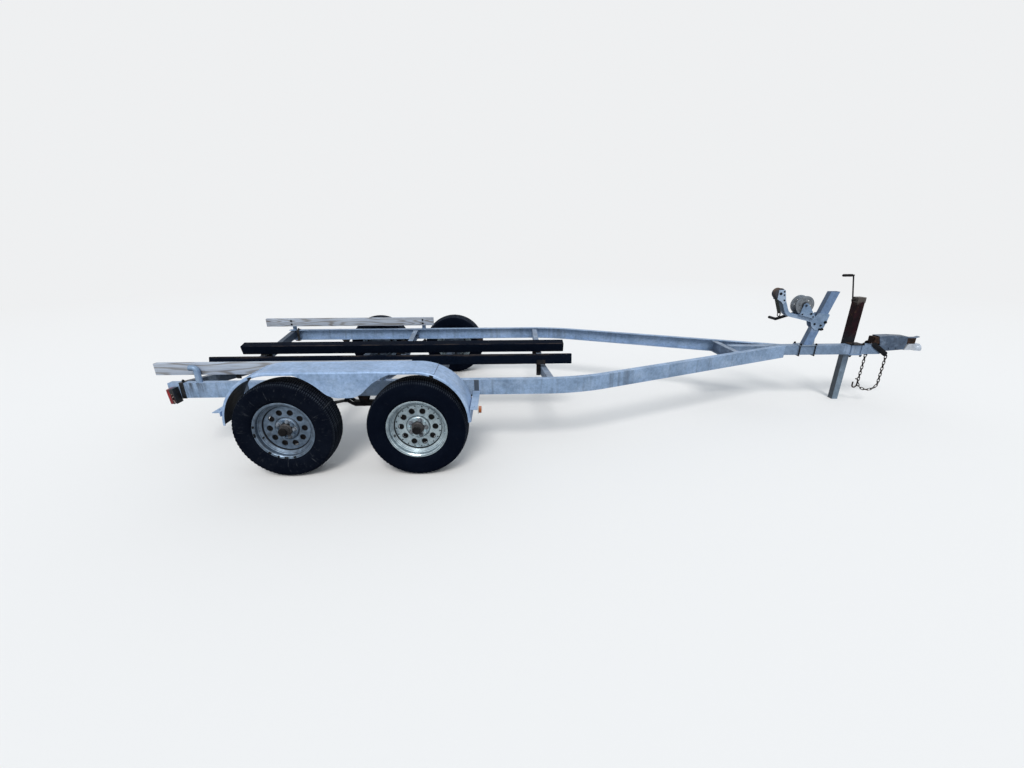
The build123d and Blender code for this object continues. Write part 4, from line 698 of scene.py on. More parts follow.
# Light and dark colour, water runs, dust on top, dust on the sides, flake size and rust.
ZINC = {
    "rail": ((0.330, 0.470, 0.690), (0.175, 0.260, 0.390), 0.45, 0.12),
    "tongue": ((0.235, 0.335, 0.490), (0.125, 0.185, 0.280), 0.45, 0.12),
    "cross": ((0.29, 0.38, 0.52), (0.14, 0.19, 0.28), 0.3, 0.3, 0.12),
    # painted shade: the crossmembers' zinc made darker
    "shaded_zinc": ((0.062, 0.090, 0.135), (0.030, 0.042, 0.065), 0.2, 0.15, 0.1),
    "fender": ((0.36, 0.51, 0.76), (0.18, 0.275, 0.43), 0.20, 0.10, 0.03, 40.0),
    "bracket": ((0.34, 0.48, 0.70), (0.20, 0.30, 0.45), 0.2, 0.1),
    "fitting": ((0.23, 0.34, 0.50), (0.12, 0.19, 0.30), 0.3, 0.2, 0.10),
    "plate": ((0.40, 0.51, 0.66), (0.25, 0.33, 0.44), 0.2, 0.1),
    "post": ((0.18, 0.28, 0.46), (0.11, 0.18, 0.31), 0.4, 0.15),
    "foot": ((0.30, 0.38, 0.48), (0.17, 0.22, 0.29), 0.2, 0.1),
    "drum": ((0.24, 0.265, 0.29), (0.12, 0.14, 0.165), 0.2, 0.15, 0.1, 60.0, 0.14),
    "leg": ((0.24, 0.32, 0.41), (0.14, 0.19, 0.25), 0.5, 0.15),
    "case": ((0.100, 0.150, 0.235), (0.043, 0.063, 0.100), 0.3, 0.3, 0.15, 60.0, 0.24),
    "worn": ((0.20, 0.22, 0.245), (0.085, 0.095, 0.11), 0.3, 0.3, 0.2, 60.0, 0.28),
}


def steel_finishes():
    plain = (0.022, 0.024, 0.028), (0.007, 0.008, 0.010), 0.34
    return {
        "dark_steel": dark_steel("dark_steel", *plain),
        "mount": dark_steel("mount_steel", *plain),
        "black_steel": dark_steel("black_steel", (0.012, 0.014, 0.018), (0.004, 0.005, 0.007), 0.28, 0.5),
        "rusty_steel": dark_steel(
            "rusty_steel", (0.045, 0.030, 0.026), (0.018, 0.013, 0.012), 0.42, 0.8, 0.1),
        "chain": dark_steel("chain_steel", (0.040, 0.033, 0.030), (0.014, 0.012, 0.012), 0.40, 0.75, 0.2),
        "hub": dark_steel("greasy_hub", (0.009, 0.009, 0.010), (0.003, 0.003, 0.004), 0.12, 0.55, 0.2),
    }


def wheel_and_tyre_finishes():
    return {
        "new_wheel": wheel_finish("bright_wheel", (0.62, 0.75, 0.81), (0.31, 0.40, 0.46), 0.18, 0.22),
        "old_wheel": wheel_finish("weathered_wheel", (0.235, 0.32, 0.43), (0.095, 0.135, 0.19), 0.26, 0.44),
        "tyre": rubber("tyre_rubber", (0.0012, 0.0026, 0.0075), (0.0025, 0.0048, 0.0115), 0.10),
        "dusty_tyre": rubber(
            "dusty_tyre_rubber", (0.0015, 0.0030, 0.0080), (0.0045, 0.0070, 0.0135), 0.30, 0.55),
        "roller": rubber("roller_rubber", (0.075, 0.055, 0.045), (0.13, 0.10, 0.085)),
    }


def lamp_and_plastic_finishes():
    return {
        "tail_lamp": lamp("tail_lamp", (0.26, 0.012, 0.014), (0.055, 0.008, 0.010), (0.010, 0.010, 0.011),
                          -1.3369, "LESS_THAN", 0.0872),
        "marker_lamp": lamp("marker_lamp", (0.42, 0.10, 0.012), (0.12, 0.04, 0.015), (0.60, 0.60, 0.58),
                            0.8656, "GREATER_THAN"),
        "shards": plastic("pale_shards", (0.55, 0.50, 0.48), (0.30, 0.22, 0.20), 0.35),
        "cap_black": plastic("cap_black", (0.009, 0.009, 0.011), (0.004, 0.004, 0.005), 0.4),
    }


def make_finishes():
    for make_group in (zinc_flakes_group, water_runs_group, dust_group, rust_group,
                       weathered_zinc_group, wheel_place_group):
        make_group()
    for finish, values in ZINC.items():
        FINISHES[finish] = galvanised("galvanised_" + finish, *values)
    FINISHES["bright"] = galvanised(
        "bright_zinc", (0.66, 0.71, 0.79), (0.34, 0.38, 0.44), 0.1, 0.1, flake=90.0)
    FINISHES.update(steel_finishes() | wheel_and_tyre_finishes() | lamp_and_plastic_finishes())
    FINISHES.update({"carpet": carpet(), "timber": timber(), "jack": jack_paint(), "webbing": webbing()})
    for finish, (mask, colour) in MARKS_AND_SHADE.items():
        add_marks_and_shade(finish, mask, colour)


def both(*names):
    """Right and left node of each name."""
    return tuple(name + side for name in names for side in ("_right", "_left"))


NODE_FINISHES = {
    "rail": both("rail"),
    "tongue": ("tongue",),
    "cross": ("tongue_crossmember", "crossmember_front", "crossmember_middle"),
    # rear crossmember and axles in painted shade
    "shaded_zinc": ("crossmember_rear", "axle_front", "axle_rear"),
    "fender": ("fender_centre", "fender_front_end", "fender_rear_end"),
    "fitting": ("board_posts", "winch_arm", "winch_frame"),
    "bracket": ("fender_brackets",),
    "plate": ("bow_bracket",),
    "foot": ("winch_post_foot",),
    "post": ("winch_post",),
    "leg": ("jack_leg",),
    "case": ("coupler_case", "coupler_latch"),
    "drum": ("winch_drum",),
    "bright": ("ball_socket",),
    "tail_lamp": ("tail_lamps",),
    "marker_lamp": ("marker_lamps",),
    "dark_steel": (*both("spring_hangers", "leaf_springs", "equaliser", "axle_clamps"), "bunk_brackets"),
    "mount": ("jack_mount",),
    "black_steel": ("jack_crank", "winch_crank"),
    "rusty_steel": ("coupler_slide",),
    "chain": ("safety_chains",),
    "hub": both("hub_front", "hub_rear"),
    "new_wheel": both("rim_front"),
    "old_wheel": both("rim_rear"),
    "tyre": both("tyre_front"),
    "dusty_tyre": both("tyre_rear"),
    "jack": ("jack_tube",),
    "roller": ("bow_roller",),
    "webbing": ("bow_strap",),
    "carpet": both("bunk"),
    "timber": both("board"),
}


def dress_nodes():
    for finish, names in NODE_FINISHES.items():
        for name in names:
            for slot in NODES[name].material_slots:
                slot.material = FINISHES[finish]


# Modelling helpers

ORIGIN = Vector((0, 0, 0))


def deselect():
    bpy.ops.object.select_all(action="DESELECT")


def only(piece):
    """Select one piece and nothing else."""
    deselect()
    piece.select_set(True)
    bpy.context.view_layer.objects.active = piece


def settle():
    """Write the selected piece's place, turn and scale into its mesh."""
    bpy.ops.object.transform_apply(location=True, rotation=True, scale=True)


def smooth(angle):
    """Shade smoothly across edges that bend by less than an angle in degrees."""
    bpy.ops.object.shade_smooth_by_angle(angle=radians(angle))


def started(name):
    """Name and settle the primitive that was just added."""
    piece = bpy.context.object
    piece.name = name
    settle()
    return piece


def edit(piece, mode="FACE"):
    only(piece)
    bpy.ops.object.mode_set(mode="EDIT")
    bpy.ops.mesh.select_mode(type=mode)


def done():
    bpy.ops.object.mode_set(mode="OBJECT")
    settle()


def pick(piece, kind, wanted):
    """Select faces or vertices by a test of where they are and how they face."""
    bpy.ops.object.mode_set(mode="OBJECT")
    mesh = piece.data
    for items in (mesh.vertices, mesh.edges, mesh.polygons):
        items.foreach_set("select", [False] * len(items))
    if kind == "FACE":
        for face in mesh.polygons:
            face.select = wanted(face.center, face.normal)
    else:
        for point in mesh.vertices:
            point.select = wanted(point.co, point.normal)
    bpy.ops.object.mode_set(mode="EDIT")
    bpy.ops.mesh.select_mode(type=kind)


def stretch_ends(piece, reach):
    """Move the front half of a mesh forwards and its rear half back, which draws it out."""
    edit(piece, "VERT")
    for way in SIDES:
        pick(piece, "VERT", lambda point, _: point.x * way > 1e-5)
        bpy.ops.transform.translate(value=(way * reach, 0, 0))
    done()


def soften(piece, width, segments=2, angle=30):
    """Round a piece's edges with a bevel that is applied."""
    only(piece)
    bevel = piece.modifiers.new("rounded_edges", "BEVEL")
    bevel.width = width
    bevel.segments = segments
    bevel.limit_method = "ANGLE"
    bevel.angle_limit = radians(angle)
    bpy.ops.object.modifier_apply(modifier=bevel.name)
    smooth(angle + 5)


def beam(name, low, high):
    """Box between two corners."""
    deselect()
    low, high = Vector(low), Vector(high)
    bpy.ops.mesh.primitive_cube_add(size=1, location=(low + high) / 2)
    bpy.context.object.scale = high - low
    return started(name)


def rod(name, start, end, radius, steps=20):
    """Round bar between two points, its ends chamfered."""
    deselect()
    start, end = Vector(start), Vector(end)
    way = end - start
    bpy.ops.mesh.primitive_cylinder_add(
        vertices=steps, radius=radius, depth=way.length, location=(start + end) / 2,
        rotation=way.to_track_quat("Z", "Y").to_euler())
    piece = started(name)
    soften(piece, radius * 0.15, 1, 40)
    return piece


def turned(name, centre, profile, steps=48):
    """Closed ring about the Y axis, drawn out along (y, radius) points."""
    deselect()
    y0, r0 = profile[0]
    bpy.ops.mesh.primitive_circle_add(
        vertices=steps, radius=r0, location=centre + Vector((0, y0, 0)), rotation=(pi / 2, 0, 0))
    piece = started(name)
    edit(piece, "EDGE")
    bpy.ops.mesh.select_all(action="SELECT")
    for y, r in profile[1:]:
        bpy.ops.mesh.extrude_edges_move(TRANSFORM_OT_translate={"value": (0, y - y0, 0)})
        if abs(r - r0) > 1e-7:
            share = r / r0
            here = centre + Vector((0, y, 0))
            bpy.ops.transform.resize(value=(share, 1, share), center_override=here)
        y0, r0 = y, r
    bpy.ops.mesh.select_all(action="SELECT")
    bpy.ops.mesh.remove_doubles(threshold=1e-5)
    bpy.ops.mesh.normals_make_consistent(inside=False)
    done()
    smooth(35)
    return piece


def copy_of(piece, name, matrix):
    twin = piece.copy()
    twin.data = piece.data.copy()
    twin.name = name
    twin.data.transform(matrix)
    bpy.context.scene.collection.objects.link(twin)
    return twin


def joined(pieces, name):
    deselect()
    for piece in pieces:
        piece.select_set(True)
    bpy.context.view_layer.objects.active = pieces[0]
    bpy.ops.object.join()
    whole = bpy.context.object
    whole.name = name
    return whole


def dress(piece, finish, body="frame", replaces=()):
    piece.data.materials.clear()
    piece.data.materials.append(FINISHES[finish])
    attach(piece, body)
    if replaces:
        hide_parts(*replaces)


# Tyres

WHEELS = (("front_right", -1, "tyre"), ("front_left", 1, "tyre"),
          ("rear_right", -1, "dusty_tyre"), ("rear_left", 1, "dusty_tyre"))
GROOVES = (-0.053, -0.0185, 0.0185, 0.053)
GROOVE_HALF = 0.0042
GROOVE_DEPTH = 0.0075
GROOVE_ZIGZAG = 0.0035
GROOVE_REACH = 0.006        # a groove's points lie nearer its middle than this
TREAD_DEPTH = 0.0150        # and nearer the tyre's outer size than this
TREAD_EDGE = 0.062
SHOULDER = (0.074, 0.092)   # from the tyre's middle
SHOULDER_DEPTH = 0.020
TREAD_HALF = 0.078
TREAD_CROWN = 0.009
TYRE_WALL = 0.012
BEAD_SIDE = 0.0797
BEAD_RADIUS = 0.1927
NOTCH = 0.989               # radius of the notches between lugs, as a share
TYRE_TURN = 0.37            # between one tyre and the next, so that no two look alike

# Rings of the side wall from the bead outwards: in from its widest place, and out from the bead.
WALL_RINGS = ((0.0130, 0.024), (0.0080, 0.032), (0.0075, 0.036), (0.0035, 0.045), (0.0008, 0.062),
              (0.0, 0.075), (0.0008, 0.090), (0.0004, 0.093), (0.0022, 0.104), (0.0015, 0.107),
              (0.0060, 0.120), (0.0055, 0.128), (0.0100, 0.137))


def tread_radius(y, outer):
    return outer - TREAD_CROWN * (y / TREAD_HALF) ** 2


def tyre_profile(outer, half):
    """Outline of the tyre's wall as (y, radius), with ribs, grooves and sidewall rings."""
    side = [(BEAD_SIDE, BEAD_RADIUS), (BEAD_SIDE + 0.0005, BEAD_RADIUS + 0.016)]
    side += [(half - inwards, BEAD_RADIUS + up) for inwards, up in WALL_RINGS]
    side += [(0.084, outer - 0.0125), (TREAD_HALF, outer - TREAD_CROWN), (0.070, tread_radius(0.070, outer))]
    tread = []
    for groove in reversed(GROOVES):
        for y, drop in ((GROOVE_HALF, 0), (GROOVE_HALF * 0.6, GROOVE_DEPTH),
                        (-GROOVE_HALF * 0.6, GROOVE_DEPTH), (-GROOVE_HALF, 0)):
            tread.append((groove + y, tread_radius(groove + y, outer) - drop))
        if groove > GROOVES[0]:
            rib = groove - 0.0173
            tread.append((rib, tread_radius(rib, outer)))
    other_side = [(-y, r) for y, r in reversed(side)]
    lining = [(BEAD_SIDE - TYRE_WALL, BEAD_RADIUS), (half - 0.011, BEAD_RADIUS + 0.06),
              (0.070, outer - 0.021)]
    inside = [(-y, r) for y, r in lining] + lining[::-1]
    return side + tread + other_side + inside + [side[0]]


def cut_tread(tyre, outer):
    """Bend the grooves to a zigzag and notch the shoulders between lugs."""
    def step(point):
        return round(atan2(point.z, point.x) / (2 * pi / TREAD_STEPS)) % TREAD_STEPS

    def near_groove(point):
        y = point.y
        on_tread = hypot(point.x, point.z) > outer - TREAD_DEPTH and abs(y) < TREAD_EDGE
        return on_tread and any(abs(y - groove) < GROOVE_REACH for groove in GROOVES)

    def shoulder(point):
        near, far = SHOULDER
        return hypot(point.x, point.z) > outer - SHOULDER_DEPTH and near < abs(point.y) < far

    edit(tyre, "VERT")
    for odd, shift in ((0, GROOVE_ZIGZAG), (1, -GROOVE_ZIGZAG)):
        pick(tyre, "VERT", lambda point, _: near_groove(point) and step(point) % 2 == odd)
        bpy.ops.transform.translate(value=(0, shift, 0))
    pick(tyre, "VERT", lambda point, _: shoulder(point) and step(point) % 2 == 0)
    bpy.ops.transform.resize(value=(NOTCH, 1, NOTCH), center_override=ORIGIN)
    done()


def add_tyres():
    """One tyre modelled about its own centre, and copied to the four wheels."""
    low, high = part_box("tyre_front_right")
    outer, half = (high.z - low.z) / 2, (high.y - low.y) / 2
    pattern = turned("tyre", ORIGIN, tyre_profile(outer, half), TREAD_STEPS)
    cut_tread(pattern, outer)
    for number, (place, _, finish) in enumerate(WHEELS):
        turn = Matrix.Rotation(TYRE_TURN * number, 4, "Y")
        spot = Matrix.Translation(middle("tyre_" + place))
        tyre = copy_of(pattern, "treaded_tyre_" + place, spot @ turn)
        dress(tyre, finish, "wheel_" + place, ["tyre_" + place])
    bpy.data.objects.remove(pattern)


# Bunks and boards

BUNK_WIDTH = 0.090
BUNK_HEIGHT = 0.092
CARPET_GAP = 0.0008         # carpet stays inside the solid by this much
BOARD_GAP = 0.0006
FIRST_CUT = 0.02            # the first cut across lies this much farther in than its step


def roughened(piece, size, depth):
    """Uneven surface from a cloud texture, applied."""
    texture = bpy.data.textures.new(piece.name, "CLOUDS")
    texture.noise_scale = size
    texture.noise_depth = 2
    only(piece)
    change = piece.modifiers.new("unevenness", "DISPLACE")
    change.texture = texture
    change.strength = depth
    change.mid_level = 0.5
    change.texture_coords = "LOCAL"
    bpy.ops.object.modifier_apply(modifier=change.name)


def split_lengthwise(piece, low, high, step):
    """Cut a beam across every so often, by bisecting."""
    edit(piece)
    spot = low + FIRST_CUT + step
    while spot < high - step / 2:
        bpy.ops.mesh.select_all(action="SELECT")
        bpy.ops.mesh.bisect(plane_co=(spot, 0, 0), plane_no=(1, 0, 0), use_fill=False)
        spot += step
    done()


def add_bunk(name, side):
    """Timber wrapped in carpet, tilted inwards: soft edges and a slightly lumpy surface."""
    low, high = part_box(name)
    near, far = sorted((side * CARPET_GAP, side * (BUNK_WIDTH - CARPET_GAP)))
    bunk = beam("carpeted_" + name, (low.x + CARPET_GAP, near, CARPET_GAP),
                (high.x - CARPET_GAP, far, BUNK_HEIGHT - CARPET_GAP))
    soften(bunk, 0.007, 3)
    split_lengthwise(bunk, low.x, high.x, 0.045)
    roughened(bunk, 0.05, 0.0022)
    smooth(50)
    inner = min(abs(low.y), abs(high.y)) + BUNK_HEIGHT * sin(BUNK_TILT)
    tilt = Matrix.Rotation(side * BUNK_TILT, 4, "X")
    bunk.data.transform(Matrix.Translation((0, side * inner, low.z)) @ tilt)
    dress(bunk, "carpet", replaces=[name])


def add_board(name):
    """Sawn board with worn edges."""
    low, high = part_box(name)
    inset = Vector((BOARD_GAP, BOARD_GAP, BOARD_GAP))
    board = beam("weathered_" + name, low + inset, high - inset)
    soften(board, 0.0028, 2)
    split_lengthwise(board, low.x, high.x, 0.06)
    roughened(board, 0.12, 0.0016)
    smooth(30)
    dress(board, "timber", replaces=[name])


# Safety chain

LINKS = 27
LINK_BAR = 0.0035
LINK_INNER_LENGTH = 0.030
LINK_INNER_WIDTH = 0.011
LINK_PITCH = 0.0297
LINK_DROP = 0.0107          # first link's middle below the pin
PIN_DROP = 0.014            # pins below the tongue
PIN_RADIUS = 0.004
EYE_BACK = 0.101            # pin of the left strand behind the tongue's front end
PLATE_LEAD = 0.050          # pin of the right strand ahead of it
PLATE_PIN_SIDE = 0.0556
PIN_Z = TONGUE_LOW.z - PIN_DROP
EYE_X = TONGUE_HIGH.x - EYE_BACK
PLATE_X = TONGUE_HIGH.x + PLATE_LEAD
EYE_SIDE = 0.013            # eye's legs from the centre line
PLATE_LEAN = radians(35)
PLATE_REACH = 0.077         # half of the bracket plates' straight part
PLATE_SIDE = 0.0451
PLATE_HALF_WIDTH = 0.023
PLATE_THICKNESS = 0.005
HOOK_PLACE = (EYE_X - 0.028, -0.004, 0.176)
HOOK_TURN = radians(12)
HOOK_RADIUS = 0.0290
HOOK_BAR = 0.0062           # radius of its bar
HOOK_REACH = 0.030          # hook's straight part
HOOK_GAP = (1.75, 3.0)      # turns between which the hook is open


def make_link():
    """Round bar bent to a long ring: a torus drawn apart."""
    deselect()
    bend = LINK_INNER_WIDTH / 2 + LINK_BAR
    bpy.ops.mesh.primitive_torus_add(
        major_segments=20, minor_segments=10, major_radius=bend, minor_radius=LINK_BAR,
        rotation=(0, 0, pi / 20))
    link = started("link")
    stretch_ends(link, LINK_INNER_LENGTH / 2 + LINK_BAR - bend)
    bpy.ops.object.shade_smooth()
    return link


def chain_route():
    """Place, direction and side of each link: down, round a half circle and up again."""
    left = Vector((EYE_X, 0, PIN_Z - LINK_DROP))
    right = Vector((PLATE_X, -PLATE_PIN_SIDE, PIN_Z - LINK_DROP))
    down, up = Vector((0, 0, -1)), Vector((0, 0, 1))
    across = (right - left).normalized()
    radius = (right - left).length / 2
    total = LINK_PITCH * (LINKS - 1)
    drop = (total - pi * radius) / 2
    flat = across.cross(up)
    for number in range(LINKS):
        run = LINK_PITCH * number
        if run < drop:
            place, heading = left + down * run, down
        elif run > total - drop:
            place, heading = right + down * (total - run), up
        else:
            turn = (run - drop) / radius
            place = left + across * (radius - radius * cos(turn)) + down * (drop + radius * sin(turn))
            heading = across * sin(turn) + down * cos(turn)
        yield place, heading, flat if number % 2 == 0 else flat.cross(heading)


def add_chain():
    pattern = make_link()
    links = []
    for place, heading, side in chain_route():
        turn = Matrix((heading, side.cross(heading), side)).transposed().to_4x4()
        links.append(copy_of(pattern, "link", Matrix.Translation(place) @ turn))
    bpy.data.objects.remove(pattern)
    dress(joined(links, "safety_chain_links"), "chain", replaces=["safety_chains"])
    add_chain_fittings()
    add_chain_hook()


def add_chain_fittings():
    """Eye under the tongue, and the two dark bracket plates beside the coupler's case."""
    pieces = []
    for y in (-EYE_SIDE, EYE_SIDE):
        leg = beam("eye_leg", (EYE_X - 0.006, y - 0.003, PIN_Z - 0.006),
                   (EYE_X + 0.006, y + 0.003, TONGUE_LOW.z - 0.0003))
        soften(leg, 0.0015)
        pieces.append(leg)
    for x, y, half in ((EYE_X, 0, 0.019), (PLATE_X, -0.0555, 0.0081)):
        pieces.append(rod("chain_pin", (x, y - half, PIN_Z), (x, y + half, PIN_Z), PIN_RADIUS))
    pieces += [bracket_plate(side) for side in SIDES]
    dress(joined(pieces, "chain_fittings"), "black_steel", replaces=["safety_chains"])


def bracket_plate(side):
    """Flat bar with round ends, leaning down to the front."""
    back, up = PLATE_REACH * cos(PLATE_LEAN), PLATE_REACH * sin(PLATE_LEAN)
    centre = Vector((PLATE_X - 0.006 - back, side * PLATE_SIDE, PIN_Z + 0.018 + up))
    deselect()
    bpy.ops.mesh.primitive_cylinder_add(
        vertices=40, radius=PLATE_HALF_WIDTH, depth=PLATE_THICKNESS, rotation=(pi / 2, 0, 0))
    plate = started("bracket_plate")
    stretch_ends(plate, PLATE_REACH)
    soften(plate, 0.0012)
    plate.data.transform(Matrix.Translation(centre) @ Matrix.Rotation(PLATE_LEAN, 4, "Y"))
    return plate


def add_chain_hook():
    """Open hook at the foot of the chain's left strand: a ring of round bar with a gap."""
    deselect()
    bpy.ops.mesh.primitive_torus_add(
        major_segments=40, minor_segments=12, major_radius=HOOK_RADIUS, minor_radius=HOOK_BAR)
    hook = bpy.context.object
    edit(hook, "VERT")
    pick(hook, "VERT", lambda point, _: HOOK_GAP[0] < atan2(point.y, point.x) < HOOK_GAP[1])
    bpy.ops.mesh.delete(type="VERT")
    bpy.ops.mesh.select_all(action="DESELECT")
    bpy.ops.mesh.select_mode(type="EDGE")
    bpy.ops.mesh.select_non_manifold()
    bpy.ops.mesh.edge_face_add()
    bpy.ops.mesh.select_all(action="SELECT")
    bpy.ops.mesh.normals_make_consistent(inside=False)
    pick(hook, "VERT", lambda point, _: point.y > 0)
    bpy.ops.transform.translate(value=(0, HOOK_REACH, 0))
    done()
    smooth(40)
    upright = Matrix.Rotation(HOOK_TURN, 4, "Z") @ Matrix.Rotation(pi / 2, 4, "X")
    hook.data.transform(Matrix.Translation(HOOK_PLACE) @ upright)
    dress(hook, "chain")


# Bow roller


def add_roller():
    """Hard rubber roller with chamfered ends, a waist and a groove round its middle."""
    low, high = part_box("bow_roller")
    outer, half = (high.z - low.z) / 2, (high.y - low.y) / 2
    waist = outer - 0.005
    end = [(half, 0.0085), (half, outer - 0.006), (half - 0.001, outer - 0.002),
           (half - 0.004, outer - 0.0003), (half - 0.010, outer - 0.0003), (0.010, waist + 0.001),
           (0.003, waist), (0.002, waist - 0.0015)]
    profile = [(-y, r) for y, r in end] + end[::-1] + [(-half, 0.0085)]
    roller = turned("waisted_roller", middle("bow_roller"), profile, 64)
    dress(roller, "roller", replaces=["bow_roller"])


# Wheel fittings

CENTRE_POINT = 5e-6         # radius of a ring that is merged to a point
DISC_FACE = 0.0272          # outboard of the wheel's mid plane
HAT_FACE = 0.0412
NUTS = 5
NUT_CIRCLE = 0.05715
NUT_SIZE = 0.021            # across the flats
WELDS = 20
WELD_CIRCLE = 0.150
CAP_PROFILE = ((0.090, CENTRE_POINT), (0.090, 0.0276), (0.097, 0.0280), (0.1020, 0.0262), (0.1034, 0.0225),
               (0.1036, 0.014), (0.1033, 0.012), (0.1033, CENTRE_POINT))
DIMPLE_PROFILE = ((-0.0010, CENTRE_POINT), (-0.0010, 0.0048), (0.0004, 0.0048), (0.0009, 0.0040),
                  (0.0004, 0.0030), (-0.0002, CENTRE_POINT))
# Rings pressed or rolled in the wheel: distance outboard, radius, and the bead's own radius.
WHEEL_BEADS = ((0.0818, 0.2044, 0.0032), (0.0480, 0.1810, 0.0020), (DISC_FACE, 0.1565, 0.0014),
               (DISC_FACE, 0.0830, 0.0014))
# Balance weights: turn about the axle in degrees, and half length.
WEIGHTS = ((170, 0.008), (188, 0.014), (233, 0.010), (251, 0.006), (266, 0.013), (283, 0.009))
WEIGHT_CIRCLE = 0.1985
FLANGE_FACE = 0.0835
VALVE_TURN = radians(200)
BOLT_SIZE = 0.020           # across the flats, as the pattern is modelled
BOLT_CHAMFER = 0.0016


def bead_profile(y, radius, thick):
    turns = [pi * step / 4 for step in range(9)]
    return [(y + thick * sin(turn), radius + thick * cos(turn)) for turn in turns]


def sideways(points, side):
    return [(side * y, r) for y, r in points]


def make_bolt():
    """Hexagon nut with a chamfered top on a washer, the bolt's end standing out of it."""
    deselect()
    across_corners = BOLT_SIZE * 1.155
    bpy.ops.mesh.primitive_cylinder_add(
        vertices=6, radius=across_corners / 2, depth=0.013, location=(0, 0, 0.0085))
    nut = started("nut")
    edit(nut)
    pick(nut, "FACE", lambda _, normal: normal.z > 0.9)
    bpy.ops.mesh.inset(thickness=BOLT_CHAMFER)
    bpy.ops.transform.translate(value=(0, 0, BOLT_CHAMFER))
    done()
    washer = rod("washer", ORIGIN, (0, 0, 0.0022), 0.0155)
    stud = rod("stud", (0, 0, 0.012), (0, 0, 0.0215), 0.0058, 12)
    return joined([nut, washer, stud], "bolt")


def facing(place, way, size):
    """Where a bolt goes whose head points that way."""
    turn = way.to_track_quat("Z", "X").to_matrix().to_4x4()
    return Matrix.Translation(place) @ turn @ Matrix.Scale(size / BOLT_SIZE, 4)


def around(centre, y, radius, turn):
    return centre + Vector((radius * cos(turn), y, radius * sin(turn)))


def ring_of(centre, y, radius, count, start=0.0):
    return [around(centre, y, radius, start + 2 * pi * number / count) for number in range(count)]


def add_wheel_fittings():
    """Nuts, cap, pressed rings and valve; small spot welds in front, balance weights behind."""
    bolt = make_bolt()
    dimple = turned("dimple", ORIGIN, DIMPLE_PROFILE, 12)
    for place, side, _ in WHEELS:
        centre, body = middle("rim_" + place), "wheel_" + place
        newer = "front" in place
        out = Vector((0, side, 0))
        nuts = [copy_of(bolt, "nut", facing(spot, out, NUT_SIZE))
                for spot in ring_of(centre, side * HAT_FACE, NUT_CIRCLE, NUTS)]
        dress(joined(nuts, "wheel_nuts_" + place), "worn", body)
        cap = turned("hub_cap_" + place, centre, sideways(CAP_PROFILE, side), 40)
        dress(cap, "cap_black", body)
        beads = [turned("bead", centre, sideways(bead_profile(*bead), side), 72) for bead in WHEEL_BEADS]
        finish = "new_wheel" if newer else "old_wheel"
        dress(joined(beads, "wheel_rings_" + place), finish, body)
        dress(make_valve(centre, side, "valve_" + place), "cap_black", body)
        if newer:
            flip = Matrix.Rotation(0 if side > 0 else pi, 4, "Z")
            welds = [copy_of(dimple, "weld", Matrix.Translation(spot) @ flip)
                     for spot in ring_of(centre, side * DISC_FACE, WELD_CIRCLE, WELDS, 0.08)]
            dress(joined(welds, "spot_welds_" + place), "black_steel", body)
        else:
            weights = make_weights(centre, side, "balance_weights_" + place)
            dress(weights, "black_steel", body)
    bpy.data.objects.remove(bolt)
    bpy.data.objects.remove(dimple)


def make_valve(centre, side, name):
    """Rubber stem and cap beside the disc's edge."""
    foot, neck, tip = (around(centre, side * y, radius, VALVE_TURN)
                       for y, radius in ((0.036, 0.174), (0.056, 0.168), (0.066, 0.1665)))
    return joined([rod("stem", foot, neck, 0.0056, 16), rod("cap", neck, tip, 0.0042, 12)], name)


def make_weights(centre, side, name):
    """Lead weights clipped over the flange's edge."""
    weights = []
    for degrees, half in WEIGHTS:
        turn = radians(degrees)
        weight = beam("weight", (-half, -0.006, -0.0070), (half, 0.005, 0.0040))
        soften(weight, 0.0018)
        place = Matrix.Translation(around(centre, side * FLANGE_FACE, WEIGHT_CIRCLE, turn))
        weight.data.transform(place @ Matrix.Rotation(pi / 2 - turn, 4, "Y"))
        weights.append(weight)
    return joined(weights, name)


# Bolts of the frame

SPRING_SIDE = 0.905         # springs' middle from the centre line
CLAMP_BOTTOM = 0.3066
U_BOLT_SIDE = 0.044         # bolts beside the tongue
BOARD_INNER = 0.851         # boards' inner faces
ARM_FACE = 0.0309           # outer faces of the winch arm's cheeks
BOW_FACE = 0.0352           # and of the roller's bracket
WINCH_FACE = 0.0551         # and of the winch frame
HANGER_PINS = ((-0.7645, 0.4403), (-0.1245, 0.4403), (0.0, 0.4103), (0.1245, 0.4403), (0.7645, 0.4403))
ARM_BOLTS = ((4.0181, 0.7403), (4.0374, 0.8053))
POST_CHEEK_BOLTS = ((3.940, 0.790), (4.000, 0.776), (3.995, 0.740))
ROLLER_PLATE_BOLTS = ((3.590, 1.090), (3.594, 1.060), (3.604, 1.012))
ROLLER_PIN = (3.5597, 1.072)
WINCH_CHEEK_BOLTS = ((3.785, 0.886), (3.892, 0.861))
DRUM_SHAFT = (3.8047, 0.9653)
# Bolts across the trailer, on both sides: (x, z) places, distance from the centre line, 1 where
# they point outwards and -1 inwards, and size across the flats.
CROSS_BOLTS = (
    (HANGER_PINS, SPRING_SIDE + 0.0306, 1, 0.022),
    (HANGER_PINS, SPRING_SIDE - 0.0306, -1, 0.022),
    (ARM_BOLTS, ARM_FACE, 1, 0.018),
    (POST_CHEEK_BOLTS, ARM_FACE, 1, 0.013),
    (ROLLER_PLATE_BOLTS, BOW_FACE, 1, 0.010),
    ((ROLLER_PIN,), BOW_FACE, 1, 0.016),
    (WINCH_CHEEK_BOLTS, WINCH_FACE, 1, 0.009),
    ((DRUM_SHAFT,), WINCH_FACE, 1, 0.014))
CLAMP_BOLTS = [(axle * AXLE_HALF_SPREAD + along * 0.038, side * SPRING_SIDE + across * 0.0295, CLAMP_BOTTOM)
               for axle in SIDES for along in SIDES for side in SIDES for across in SIDES]
